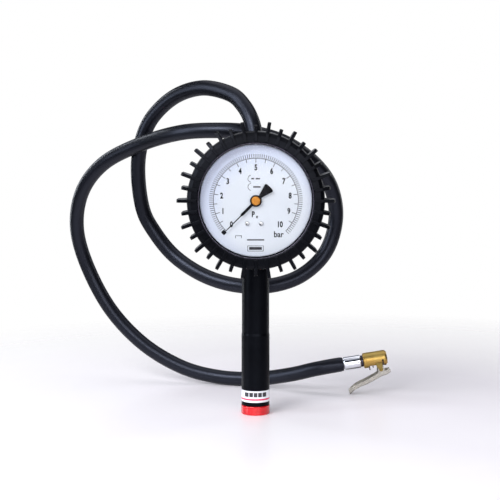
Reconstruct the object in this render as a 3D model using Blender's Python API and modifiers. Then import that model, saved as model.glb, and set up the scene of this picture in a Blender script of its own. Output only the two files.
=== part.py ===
"""Hand-held tyre inflator with a dial gauge, a looped hose and a clip-on chuck.

The handle stands upright on its end ring.  The gauge faces -Y, the trigger and the
bleed button are on the back (+Y), the hose leaves the top of the handle.
Driving dimensions and every size given to a helper are millimetres; the helpers
turn them into metres.  The origin is on the floor, under the middle of the
inflator's depth.
"""
import math

import bmesh
import bpy
from mathutils import Matrix, Vector

MM = 0.001
GAP = 0.3
WELD = 0.001 * MM

# --- driving dimensions, in millimetres --------------------------------------------
HANDLE_Y = 16.0
RING_HEIGHT = 7.7
RING_RADIUS = 12.4
TUBE_RADIUS = 9.6
TUBE_BORE = 6.5
TUBE_BOTTOM = RING_HEIGHT + 0.6
TUBE_TOP = 205.0
INLET_SOCKET = 5.9
COUNTERBORE = 7.5
COUNTERBORE_TOP = 19.0

SLEEVE_BORE = 9.9
SLEEVE_BOTTOM = RING_HEIGHT + GAP
SLEEVE_TOP = 138.0
SLEEVE_STEP = 69.0
SLEEVE_LOWER_RADIUS = 12.15
SLEEVE_UPPER_RADIUS = 11.8
LABEL_BOTTOM = 11.2
LABEL_TOP = 21.5

VALVE_Z = 128.0
VALVE_BORE = 4.6
VALVE_BOSS_RADIUS = 7.5
VALVE_BOSS_BACK = 13.5
TRIGGER_PIVOT_Z = 148.0
TRIGGER_PIVOT_BACK = 15.5
TRIGGER_WIDTH = 12.0
BLEED_Z = 168.0
BLEED_BORE = 3.2
BLEED_BOSS_BACK = 13.0

GAUGE_Z = 187.5
VENT_RISE = 30.0
WINDOW_RADIUS = 46.0
CASE_RADIUS = 49.0
CASE_WALL = 1.2
CASE_FRONT = 39.5
CASE_BACK = 4.9
BEZEL_RADIUS = 50.6
BOOT_RADIUS = 55.7
BOOT_FRONT = 45.4
BOOT_BACK = 2.5
RIB_COUNT = 36
RIB_WIDTH = 2.7
RIB_LONG = 64.7
RIB_SHORT = 61.7

PINION_TEETH = 8
SECTOR_TEETH = 72
GEAR_MODULE = 0.5
GEAR_BACKLASH = 0.55
GEAR_CENTRES = GEAR_MODULE * (PINION_TEETH + SECTOR_TEETH) / 2
SECTOR_TAIL = 8.0
POINTER_LENGTH = 36.4
POINTER_ZERO_DEG = 225.0
DIAL_SCREW_X = (-7.1, 4.3)
DIAL_SCREW_DROP = 18.6
BOURDON_RADIUS = 36.0
BOURDON_START_DEG = 241.0
BOURDON_END_DEG = -35.0
BOURDON_MIDDLE = 13.5
TIP_PIN_REACH = 3.9

HOSE_RADIUS = 6.85
HOSE_POINTS = 60
ROUTE_STEPS = 24

LARGE_SIDES = 36
TUBE_SIDES = 32

CHUCK_ORIGIN = (82.8, 99.0, 28.0)
CHUCK_TILT_DEG = 9.2
CHUCK_BODY_START = 18.6
CHUCK_BODY_END = 40.8
CHUCK_RADIUS = 7.2
CHUCK_BORE = 4.1
CHUCK_FLAT = 5.0
CHUCK_PIVOT = (33.5, 9.0)
# The lever's middle line from its nose end to its tip: along, down from the pivot, half depth.
CHUCK_LEVER_LINE = [
    (8.6, 3.2, 1.5), (5.0, 4.2, 2.1), (0.0, 4.9, 2.3), (-7.0, 7.6, 2.3), (-15.0, 10.4, 2.1),
    (-22.0, 12.3, 1.9), (-27.0, 14.5, 1.8), (-32.2, 17.9, 1.4),
]

# Route of the hose's centre line, from the handle's ferrule to the chuck.
HOSE_ROUTE = [
    (0, 16, 224.3), (0, 16, 237), (-3, 20, 252), (-10, 29, 266), (-22, 40, 277),
    (-47, 60, 283), (-73, 81, 276), (-95, 98, 257), (-106, 106, 233), (-109.5, 113, 206),
    (-106, 119, 173), (-96, 120, 152), (-77, 115, 129), (-50, 103, 112), (-20, 92, 103.5),
    (12, 87, 103), (42, 91, 112), (65, 97, 133), (74.5, 97, 163), (70, 88, 192),
    (54, 71, 215), (27, 50, 234), (-4, 35.5, 243.3), (-32, 37, 245.3), (-66, 53, 243.5),
    (-104, 90, 233.5), (-142, 121, 215.5), (-166, 145, 188), (-174.5, 164, 152),
    (-166, 173, 113), (-143, 170, 70), (-110, 160, 37), (-72, 150, 16), (-36, 142, 7.6),
    (0, 131, 7.8), (32, 114, 14.8), (55, 102.5, 22.2), (70, 99.1, 25.8), (82.5, 99, 27.95),
]


# --- scene, materials and placing --------------------------------------------------
def clear_scene():
    for old in list(bpy.data.objects):
        bpy.data.objects.remove(old, do_unlink=True)


def collection(name):
    """The scene's collection of that name, made when it is first asked for."""
    found = bpy.data.collections.get(name)
    if found is None:
        found = bpy.data.collections.new(name)
        bpy.context.scene.collection.children.link(found)
    return found


def material(name, colour, roughness, metallic=0.0, alpha=1.0):
    made = bpy.data.materials.get(name)
    if made is None:
        made = bpy.data.materials.new(name)
        made.use_nodes = True
        shader = made.node_tree.nodes["Principled BSDF"]
        shader.inputs["Base Color"].default_value = (*colour, 1.0)
        shader.inputs["Roughness"].default_value = roughness
        shader.inputs["Metallic"].default_value = metallic
        shader.inputs["Alpha"].default_value = alpha
        made.diffuse_color = (*colour, alpha)
    return made


def rubber():
    return material("black_rubber", (0.018, 0.019, 0.022), 0.55)


def brass():
    return material("brass", (0.72, 0.55, 0.20), 0.25, 1.0)


def steel():
    return material("bright_steel", (0.75, 0.76, 0.78), 0.25, 1.0)


def dark_steel():
    return material("dark_steel", (0.10, 0.10, 0.11), 0.4, 0.9)


def chrome():
    return material("chrome", (0.85, 0.86, 0.88), 0.08, 1.0)


def cast_metal():
    return material("cast_metal", (0.45, 0.46, 0.48), 0.4, 1.0)


def seal_rubber():
    return material("seal_rubber", (0.03, 0.03, 0.03), 0.7)


def place(x, y, z, facing="up"):
    """A placing matrix, in metres, whose local +Z looks up, front (-Y), back (+Y) or side (+X)."""
    turns = {
        "up": Matrix.Identity(4),
        "front": Matrix.Rotation(math.radians(90), 4, "X"),
        "back": Matrix.Rotation(math.radians(-90), 4, "X"),
        "side": Matrix.Rotation(math.radians(90), 4, "Y"),
    }
    return Matrix.Translation(Vector((x, y, z)) * MM) @ turns[facing]


def on_handle(back, z, facing="back"):
    """A place behind the handle's axis, its local +Z pointing along the given facing."""
    return place(0, HANDLE_Y + back, z, facing)


def on_gauge(x=0.0, drop=0.0):
    """The gauge's own frame: local +Z points forward, at -Y, and starts at Y = 0."""
    return place(x, 0, GAUGE_Z - drop, "front")


def on_chuck(along=0.0, down=0.0):
    """The chuck's frame: local +Z runs from the hose to the nose, local +X points down."""
    tilt = Matrix.Rotation(math.radians(90 - CHUCK_TILT_DEG), 4, "Y")
    origin = Matrix.Translation(Vector(CHUCK_ORIGIN) * MM)
    return origin @ tilt @ Matrix.Translation(Vector((down, 0, along)) * MM)


def beside_chuck(along=0.0, down=0.0):
    """The chuck's frame for side outlines: local X along the chuck, Y down, Z across it."""
    turn = Matrix(((0, 1, 0, 0), (0, 0, 1, 0), (1, 0, 0, 0), (0, 0, 0, 1)))
    return on_chuck(along, down) @ turn


# --- shape helpers -----------------------------------------------------------------
def add_object(name, data, at, finish):
    made = bpy.data.objects.new(name, data)
    collection("tyre_inflator" if finish is not None else "cutters").objects.link(made)
    made.matrix_world = at
    if finish is None:
        made.display_type = "WIRE"
        made.hide_render = True
    else:
        data.materials.append(finish)
    return made


def finished_mesh(name, body):
    """A mesh from an edited body, which is then freed."""
    mesh = bpy.data.meshes.new(name)
    body.to_mesh(mesh)
    body.free()
    return mesh


def turned(name, profile, at, finish=None, segments=28, ring=False):
    """A turned piece.  profile lists (radius, height) down the outer side, top to bottom.

    A ring's profile is a closed outline; otherwise it starts and ends on the axis.
    """
    mesh = bpy.data.meshes.new(name)
    points = [(radius * MM, 0.0, height * MM) for radius, height in profile]
    edges = [(i, i + 1) for i in range(len(points) - 1)]
    if ring:
        edges.append((len(points) - 1, 0))
    mesh.from_pydata(points, edges, [])
    made = add_object(name, mesh, at, finish)
    screw = made.modifiers.new("turn", "SCREW")
    screw.steps = segments
    screw.render_steps = segments
    screw.use_merge_vertices = True
    screw.merge_threshold = 10 * WELD
    screw.use_smooth_shade = True
    return made


def rod(name, radius, low, high, at, finish=None, segments=16):
    """A cylinder along local Z, from low to high."""
    body = bmesh.new()
    bmesh.ops.create_cone(body, cap_ends=True, segments=segments, radius1=radius * MM,
                          radius2=radius * MM, depth=(high - low) * MM,
                          matrix=Matrix.Translation((0, 0, (low + high) / 2 * MM)))
    return add_object(name, finished_mesh(name, body), at, finish)


def collar(name, inner, outer, low, high, at, finish=None, segments=20):
    """A plain ring along local Z, from low to high."""
    profile = [(inner, high), (outer, high), (outer, low), (inner, low)]
    return turned(name, profile, at, finish, segments, ring=True)


def block(name, low, high, at, finish=None):
    """A box between two local corners."""
    size = [b - a for a, b in zip(low, high)]
    middle = Vector([(a + b) / 2 for a, b in zip(low, high)]) * MM
    body = bmesh.new()
    shape = Matrix.Translation(middle) @ Matrix.Diagonal((*[s * MM for s in size], 1.0))
    bmesh.ops.create_cube(body, size=1.0, matrix=shape)
    return add_object(name, finished_mesh(name, body), at, finish)


def solid_from_curve(name, curve, at, finish):
    """The closed mesh of a curve object, with its caps welded."""
    guide = bpy.data.objects.new(name + "_curve", curve)
    bpy.context.scene.collection.objects.link(guide)
    bpy.context.view_layer.update()
    evaluated = guide.evaluated_get(bpy.context.evaluated_depsgraph_get())
    mesh = bpy.data.meshes.new_from_object(evaluated)
    mesh.name = name
    bpy.data.objects.remove(guide, do_unlink=True)
    body = bmesh.new()
    body.from_mesh(mesh)
    bmesh.ops.remove_doubles(body, verts=body.verts, dist=WELD)
    bmesh.ops.recalc_face_normals(body, faces=body.faces)
    body.to_mesh(mesh)
    body.free()
    mesh.materials.clear()
    return add_object(name, mesh, at, finish)


def plate(name, outline, low, high, at, finish=None):
    """A flat outline in local XY, as thick as from low to high along local Z."""
    curve = bpy.data.curves.new(name, "CURVE")
    curve.dimensions = "2D"
    curve.fill_mode = "BOTH"
    curve.extrude = (high - low) / 2 * MM
    spline = curve.splines.new("POLY")
    spline.points.add(len(outline) - 1)
    for point, (x, y) in zip(spline.points, outline):
        point.co = (x * MM, y * MM, 0.0, 1.0)
    spline.use_cyclic_u = True
    made = solid_from_curve(name, curve, at, finish)
    made.data.transform(Matrix.Translation((0, 0, (low + high) / 2 * MM)))
    return made


def wire(name, points, radius, at, finish, resolution=1):
    """A round wire or tube through local points, closed by flat caps."""
    curve = bpy.data.curves.new(name, "CURVE")
    curve.dimensions = "3D"
    curve.bevel_depth = radius * MM
    curve.bevel_resolution = resolution
    curve.use_fill_caps = True
    spline = curve.splines.new("POLY")
    spline.points.add(len(points) - 1)
    for point, co in zip(spline.points, points):
        point.co = (*[value * MM for value in co], 1.0)
    return solid_from_curve(name, curve, at, finish)


def combine(piece, tool, operation="DIFFERENCE"):
    """Cut a piece with a tool, or join the tool to it."""
    change = piece.modifiers.new(operation.lower(), "BOOLEAN")
    change.operation = operation
    change.solver = "EXACT"
    change.object = tool
    return piece


def arc(radius, start_deg, end_deg, steps, centre=(0.0, 0.0)):
    """Points on an arc, anticlockwise from +X in the plane they are used in."""
    points = []
    for i in range(steps + 1):
        angle = math.radians(start_deg + (end_deg - start_deg) * i / steps)
        points.append((centre[0] + radius * math.cos(angle), centre[1] + radius * math.sin(angle)))
    return points


def coil(radius, low, high, turns, steps_per_turn=9):
    """Points of a helix along local Z."""
    count = int(turns * steps_per_turn)
    points = []
    for i in range(count + 1):
        angle = 2 * math.pi * i / steps_per_turn
        height = low + (high - low) * i / count
        points.append((radius * math.cos(angle), radius * math.sin(angle), height))
    return points


def smooth_route(route, count):
    """Evenly spaced points on a Catmull-Rom curve through the route."""
    knots = [Vector(p) for p in route]
    ends = [knots[0] * 2 - knots[1]] + knots + [knots[-1] * 2 - knots[-2]]
    fine = []
    for a, b, c, d in zip(ends, ends[1:], ends[2:], ends[3:]):
        for i in range(ROUTE_STEPS):
            t = i / ROUTE_STEPS
            fine.append(0.5 * (2 * b + (c - a) * t + (2 * a - 5 * b + 4 * c - d) * t ** 2
                               + (3 * b - a - 3 * c + d) * t ** 3))
    fine.append(knots[-1])
    travelled = [0.0]
    for a, b in zip(fine, fine[1:]):
        travelled.append(travelled[-1] + (b - a).length)
    points, place_in = [], 0
    for i in range(count):
        target = travelled[-1] * i / (count - 1)
        while place_in < len(fine) - 2 and travelled[place_in + 1] < target:
            place_in += 1
        step = travelled[place_in + 1] - travelled[place_in]
        share = (target - travelled[place_in]) / step
        points.append(fine[place_in].lerp(fine[place_in + 1], share))
    return points


# --- handle ------------------------------------------------------------------------
def make_inlet():
    red = material("red_anodised", (0.72, 0.01, 0.03), 0.3, 0.4)
    axis = on_handle(0, 0, "up")
    edge = 0.7
    turned("end_ring", [
        (8.6, RING_HEIGHT), (RING_RADIUS - edge, RING_HEIGHT), (RING_RADIUS, RING_HEIGHT - edge),
        (RING_RADIUS, edge), (RING_RADIUS - edge, 0), (8.6, 0)], axis, red, TUBE_SIDES, ring=True)
    turned("inlet_bush", [
        (3.0, 18.4), (7.2, 18.4), (7.2, 8.0), (8.3, 8.0), (8.3, 0.5), (6.6, 0.5),
        (INLET_SOCKET, 1.2), (INLET_SOCKET, 12.4), (3.0, 14.0)], axis, brass(), 24, ring=True)
    turned("inlet_filter", [
        (0, 29.0), (1.2, 29.0), (4.6, 21.0), (6.1, 21.0), (6.1, 19.6), (3.6, 19.6), (1.0, 26.6),
        (0, 26.6)], axis, material("sintered_bronze", (0.42, 0.30, 0.16), 0.8, 0.7), 16)


def make_body_tube():
    """The cast tube: bosses for the gauge and the valves, two ears, and the bores through them."""
    axis = on_handle(0, 0, "up")
    # Crossing bores are turned a little, so that no facet edges of two bores coincide.
    off_seam = Matrix.Rotation(math.radians(4.0), 4, "Z")
    tube = rod("body_tube", TUBE_RADIUS, TUBE_BOTTOM, TUBE_TOP, axis, cast_metal(), TUBE_SIDES)
    combine(tube, rod("valve_boss", VALVE_BOSS_RADIUS, 0, VALVE_BOSS_BACK, on_handle(0, VALVE_Z),
                      None, 20), "UNION")
    combine(tube, rod("bleed_boss", 5.5, 0, BLEED_BOSS_BACK, on_handle(0, BLEED_Z)), "UNION")
    combine(tube, rod("gauge_boss", 8.5, 0, 13.5, on_handle(0, GAUGE_Z, "front"), None, 20), "UNION")
    for side in (-1, 1):
        low, high = sorted((side * (TRIGGER_WIDTH / 2 + 0.6), side * (TRIGGER_WIDTH / 2 + 3.0)))
        outline = [(-5.5, 1.0), (-4.2, TRIGGER_PIVOT_BACK), *arc(4.2, 150, 30, 4, (0, TRIGGER_PIVOT_BACK)),
                   (4.2, TRIGGER_PIVOT_BACK), (5.5, 1.0)]
        ear = plate(f"trigger_ear_{side}", outline, low, high, on_handle(0, TRIGGER_PIVOT_Z, "side"))
        combine(tube, ear, "UNION")
    combine(tube, turned("tube_bore", [
        (0, TUBE_TOP + 5), (5.2, TUBE_TOP + 5), (5.2, 196.0), (TUBE_BORE, 196.0),
        (TUBE_BORE, COUNTERBORE_TOP), (COUNTERBORE, COUNTERBORE_TOP), (COUNTERBORE, TUBE_BOTTOM - 5),
        (0, TUBE_BOTTOM - 5)], axis @ off_seam, None, TUBE_SIDES - 8))
    combine(tube, rod("valve_bore", VALVE_BORE, -1, 20, on_handle(0, VALVE_Z) @ off_seam, None, 20))
    combine(tube, rod("bleed_bore", BLEED_BORE, 2, 20, on_handle(0, BLEED_Z) @ off_seam))
    combine(tube, rod("gauge_bore", 5.3, 1, 20, on_handle(0, GAUGE_Z, "front") @ off_seam, None, 20))
    combine(tube, rod("trigger_pin_bore", 1.7, -20, 20,
                      place(0, HANDLE_Y + TRIGGER_PIVOT_BACK, TRIGGER_PIVOT_Z, "side"), None, 12))


def make_grip():
    axis = on_handle(0, 0, "up")
    groove = SLEEVE_LOWER_RADIUS - 0.55
    sleeve = turned("grip_sleeve", [
        (SLEEVE_BORE, SLEEVE_TOP), (SLEEVE_UPPER_RADIUS, SLEEVE_TOP),
        (SLEEVE_UPPER_RADIUS, SLEEVE_STEP + 2), (SLEEVE_LOWER_RADIUS, SLEEVE_STEP),
        (SLEEVE_LOWER_RADIUS, LABEL_TOP), (groove, LABEL_TOP), (groove, LABEL_BOTTOM),
        (SLEEVE_LOWER_RADIUS, LABEL_BOTTOM), (SLEEVE_LOWER_RADIUS, SLEEVE_BOTTOM),
        (SLEEVE_BORE, SLEEVE_BOTTOM)], axis, rubber(), TUBE_SIDES, ring=True)
    combine(sleeve, block("sleeve_opening", (-8.0, 3.0, VALVE_Z - 9.0), (8.0, 20.0, 145.0), axis))
    collar("label_band", groove + 0.15, SLEEVE_LOWER_RADIUS + 0.1, LABEL_BOTTOM + 0.15,
           LABEL_TOP - 0.15, axis, material("label_white", (0.88, 0.89, 0.92), 0.35), TUBE_SIDES)


def make_valve():
    """Inflating valve on a level axis: local Z runs backwards from the handle's axis."""
    axis = on_handle(0, VALVE_Z)
    spring_seat = on_handle(-6.2, VALVE_Z)
    wire("valve_spring", coil(2.3, 0.4, 4.2, 3.5), 0.3, spring_seat, steel())
    turned("valve_poppet", [(0, 0.0), (3.4, 0.0), (3.4, -1.5), (1.3, -1.5), (1.3, -2.6), (0, -2.6)],
           axis, brass(), 16)
    rod("poppet_seal", 3.2, 0.3, 1.2, axis, seal_rubber())
    collar("valve_seat", 2.2, VALVE_BORE - GAP, 1.6, 4.6, axis, brass())
    collar("pin_seal", 2.0, VALVE_BORE - GAP, 6.4, 8.2, axis, seal_rubber())
    turned("gland_nut", [
        (2.0, 15.0), (6.2, 15.0), (6.2, 13.8), (VALVE_BORE - GAP, 13.8), (VALVE_BORE - GAP, 8.5),
        (2.0, 8.5)], axis, brass(), 18, ring=True)
    turned("push_pin", [(0, 20.3), (2.2, 20.3), (3.0, 19.7), (3.0, 18.3), (1.7, 18.3), (1.7, 1.5),
                        (0, 1.5)], axis, steel(), 16)


def make_trigger():
    """The squeeze lever, hung from a pin between the tube's ears, and its pin."""
    pivot = place(0, HANDLE_Y + TRIGGER_PIVOT_BACK, TRIGGER_PIVOT_Z, "side")
    # Local X points down the handle and local Y backwards, both from the pivot.
    outer = [(2.0, 4.4), (20.0, 8.6), (52.0, 12.6), (76.0, 14.3), (84.0, 14.5)]
    inner = [(85.0, 12.6), (76.0, 11.9), (52.0, 10.3), (22.0, 6.2), (14.0, 4.6), (6.0, 0.5)]
    outline = outer + [(85.2, 13.8)] + inner + arc(3.6, -30, -250, 10)
    lever = plate("trigger_lever", outline, -TRIGGER_WIDTH / 2, TRIGGER_WIDTH / 2, pivot,
                  material("black_plastic", (0.02, 0.02, 0.022), 0.35))
    combine(lever, rod("lever_pin_bore", 1.7, -20, 20, pivot, None, 16))
    rod("trigger_pin", 1.4, -TRIGGER_WIDTH / 2 - 3.4, TRIGGER_WIDTH / 2 + 3.4, pivot, steel(), 16)


def make_bleed_valve():
    """Deflating button on a level axis, above the trigger."""
    axis = on_handle(0, BLEED_Z)
    turned("bleed_button", [
        (0, 19.6), (2.4, 19.4), (3.4, 18.6), (3.4, 16.6), (1.3, 16.6), (1.3, 7.6), (2.5, 7.6),
        (2.5, 6.0), (0, 6.0)], axis, material("red_plastic", (0.75, 0.03, 0.04), 0.35), 18)
    collar("bleed_bush", 1.7, BLEED_BORE - GAP, 7.9, 12.8, axis, brass(), 16)
    wire("bleed_spring", coil(2.3, 13.5, 16.1, 2.5), 0.25, axis, steel())


def make_outlet():
    """Hose nipple screwed into the tube's top, and the ferrule crimped round the hose."""
    axis = on_handle(0, 0, "up")
    nipple = turned("hose_nipple", [
        (0, 222.0), (3.4, 222.0), (4.2, 219.5), (3.6, 219.5), (4.2, 216.5), (3.6, 216.5),
        (3.6, 208.0), (4.9, 208.0), (4.9, 197.6), (0, 197.6)], axis, brass(), 20)
    combine(nipple, plate("nipple_hexagon", arc(9.6, 0, 300, 5), TUBE_TOP + GAP, 210.6, axis), "UNION")
    combine(nipple, rod("nipple_bore", 1.8, 190, 230, axis, None, 12))
    turned("hose_ferrule", [
        (4.6, 223.1), (7.6, 223.1), (8.3, 222.2), (8.3, 219.4), (7.8, 218.8), (7.8, 217.4),
        (8.3, 216.8), (8.3, 212.0), (7.6, 210.9), (4.6, 210.9)], axis, chrome(), 24, ring=True)


# --- gauge -------------------------------------------------------------------------
def make_gauge_case():
    axis = on_gauge()
    inside = CASE_RADIUS - CASE_WALL
    back_inside = CASE_BACK + CASE_WALL
    case = turned("gauge_case", [
        (inside, CASE_FRONT), (CASE_RADIUS, CASE_FRONT), (CASE_RADIUS, back_inside + 0.6),
        (CASE_RADIUS - 1.8, CASE_BACK), (6.6, CASE_BACK), (6.6, back_inside),
        (inside - 1.0, back_inside), (inside, back_inside + 1.0)], axis,
        material("case_steel", (0.10, 0.10, 0.105), 0.35, 0.8), LARGE_SIDES, ring=True)
    vent = on_gauge(drop=-VENT_RISE)
    combine(case, rod("vent_hole", 5.0, 0, 12, vent))
    turned("blowout_plug", [(0, 7.4), (4.2, 7.4), (4.6, CASE_BACK - GAP), (6.4, CASE_BACK - GAP),
                            (6.0, 3.4), (0, 3.4)], vent, seal_rubber(), 16)
    lip = 1.2
    turned("bezel_ring", [
        (WINDOW_RADIUS + 0.4, 44.4), (BEZEL_RADIUS - 0.8, 44.4), (BEZEL_RADIUS, 43.6),
        (BEZEL_RADIUS, 36.0), (CASE_RADIUS + GAP, 36.0), (CASE_RADIUS + GAP, 44.4 - lip),
        (WINDOW_RADIUS + 0.4, 44.4 - lip)], axis, dark_steel(), LARGE_SIDES, ring=True)
    rod("lens", CASE_RADIUS - 0.2, 41.2, 42.9, axis,
        material("clear_lens", (0.95, 0.97, 1.0), 0.03, 0.0, 0.2), LARGE_SIDES)
    collar("lens_gasket", 46.5, CASE_RADIUS - 0.2, 39.9, 40.9, axis, seal_rubber(), LARGE_SIDES)


def make_boot():
    """The rubber boot: a thick ring with a back lip, and ribs of two lengths round it."""
    axis = on_gauge()
    inner_case = CASE_RADIUS + GAP
    # The ring is turned by half a facet, so that each rib stands on the middle of a facet.
    half_facet = Matrix.Rotation(math.pi / LARGE_SIDES, 4, "Z")
    boot = turned("boot", [
        (WINDOW_RADIUS, BOOT_FRONT - 0.4), (WINDOW_RADIUS + 0.8, BOOT_FRONT),
        (BOOT_RADIUS - 3.2, BOOT_FRONT - 0.9), (BOOT_RADIUS - 0.6, BOOT_FRONT - 2.6),
        (BOOT_RADIUS, BOOT_FRONT - 5.0), (BOOT_RADIUS, 8.0), (52.5, BOOT_BACK), (40.0, BOOT_BACK),
        (40.0, CASE_BACK - GAP), (CASE_RADIUS - 1.2, CASE_BACK - GAP), (inner_case, 6.1),
        (inner_case, 35.7), (BEZEL_RADIUS + GAP, 35.7), (BEZEL_RADIUS + GAP, 44.7),
        (WINDOW_RADIUS, 44.7)], axis @ half_facet, rubber(), LARGE_SIDES, ring=True)
    for i in range(RIB_COUNT):
        tip = RIB_SHORT if i % 2 == 0 else RIB_LONG
        outline = [
            (WINDOW_RADIUS + 1.2, BOOT_FRONT - 0.5), (WINDOW_RADIUS + 2.0, BOOT_FRONT + 0.6),
            (BOOT_RADIUS - 1.0, BOOT_FRONT + 0.1), (tip, BOOT_FRONT - 4.0), (tip, 16.0),
            (BOOT_RADIUS - 2.0, 8.6), (BOOT_RADIUS - 2.0, BOOT_FRONT - 2.6),
            (BOOT_RADIUS - 4.0, BOOT_FRONT - 0.5)]
        turn = Matrix.Rotation(math.radians(i * 360.0 / RIB_COUNT), 4, "Z")
        upright = Matrix.Rotation(math.radians(90), 4, "X")
        rib = plate(f"boot_rib_{i}", outline, -RIB_WIDTH / 2, RIB_WIDTH / 2,
                    axis @ Matrix.Rotation(math.radians(90), 4, "Z") @ turn @ upright)
        combine(boot, rib, "UNION")


def make_socket():
    """The brass socket: a foot for the spring tube inside the case, a stem out of its back."""
    axis = on_gauge()
    foot = ([(-8, 8), (-8, -29)] + arc(31, BOURDON_START_DEG, BOURDON_START_DEG, 1)[:1]
            + arc(41, BOURDON_START_DEG, 277, 6) + [(8, -29), (8, 8)])
    socket = plate("gauge_socket", foot, 8.0, 19.0, axis, brass())
    neck = rod("socket_neck", 6.0, 1.0, 9.0, axis, None, 20)
    flats = plate("socket_hexagon", arc(9.0, 0, 300, 5), -1.2, 2.2, axis)
    stem = rod("socket_stem", 5.0, -9.0, 0.0, axis, None, 20)
    for tool in (neck, flats, stem):
        combine(socket, tool, "UNION")
    combine(socket, rod("socket_bore", 1.5, -12.0, 14.0, axis, None, 10))
    collar("stem_gasket", 5.4, 8.2, -2.2, -1.5, axis, material("fibre", (0.45, 0.12, 0.08), 0.8))


def make_spring_tube():
    """The flat spring tube (Bourdon tube), its closed end and the link to the sector."""
    axis = on_gauge()
    start = BOURDON_START_DEG - 0.8
    ring = arc(BOURDON_RADIUS, start, BOURDON_END_DEG, 32)
    tube = wire("bourdon_tube", [(x, y, BOURDON_MIDDLE) for x, y in ring], 1.7, axis, brass())
    to_middle = Matrix.Translation((0, 0, BOURDON_MIDDLE * MM))
    tube.data.transform(to_middle @ Matrix.Diagonal((1, 1, 2.4, 1)) @ to_middle.inverted())
    end = arc(BOURDON_RADIUS, BOURDON_END_DEG - 1, BOURDON_END_DEG - 1, 1)[0]
    turn = Matrix.Translation(Vector((*end, 0)) * MM) @ Matrix.Rotation(
        math.radians(BOURDON_END_DEG - 90), 4, "Z")
    tip = block("tube_tip", (0.0, -2.6, 9.5), (6.0, 2.6, 17.5), axis @ turn, brass())
    combine(tip, block("tip_lug", (2.4, -1.4, 16.0), (5.4, 1.4, 26.4), axis @ turn), "UNION")
    at_pin = axis @ turn @ Matrix.Translation((TIP_PIN_REACH * MM, 0, 0))
    combine(tip, rod("tip_pin", 0.5, 25.0, 28.6, at_pin, None, 10), "UNION")
    pin_x, pin_y = link_end()
    tail_x, tail_y = 0.0, -GEAR_CENTRES - SECTOR_TAIL
    length = math.hypot(pin_x - tail_x, pin_y - tail_y)
    bearing = math.degrees(math.atan2(pin_y - tail_y, pin_x - tail_x))
    outline = arc(1.9, 90, 270, 6) + arc(1.9, -90, 90, 6, (length, 0))
    at_tail = axis @ Matrix.Translation(Vector((tail_x, tail_y, 0)) * MM) @ Matrix.Rotation(
        math.radians(bearing), 4, "Z")
    link = plate("link", outline, 26.8, 28.2, at_tail, brass())
    combine(link, rod("link_tail_bore", 0.95, 20, 40, at_tail, None, 12))
    combine(link, rod("link_tip_bore", 1.05, 20, 40, at_tail @ Matrix.Translation((length * MM, 0, 0)),
                      None, 12))


def link_end():
    """Where the link meets the tube's tip, in the gauge's frame."""
    angle = math.radians(BOURDON_END_DEG - 1)
    x = BOURDON_RADIUS * math.cos(angle)
    y = BOURDON_RADIUS * math.sin(angle)
    return x + TIP_PIN_REACH * math.sin(angle), y - TIP_PIN_REACH * math.cos(angle)


def tooth_outline(pitch, teeth, first, count, outwards):
    """Trapezoid teeth on a pitch circle, as outline points from tooth first onwards.

    Angles are clockwise from +Y.  outwards is the angle offset of tooth 0.
    """
    root, top = pitch - GEAR_MODULE * 1.25, pitch + GEAR_MODULE * 0.8
    pitch_deg = 360.0 / teeth
    width_deg = pitch_deg / 2 - math.degrees(GEAR_BACKLASH / 2 / pitch)
    points = []
    for i in range(first, first + count):
        middle = outwards + i * pitch_deg
        for radius, offset in ((root, -0.62), (top, -0.30), (top, 0.30), (root, 0.62)):
            angle = math.radians(middle + offset * width_deg)
            points.append((radius * math.sin(angle), radius * math.cos(angle)))
    return points


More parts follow.
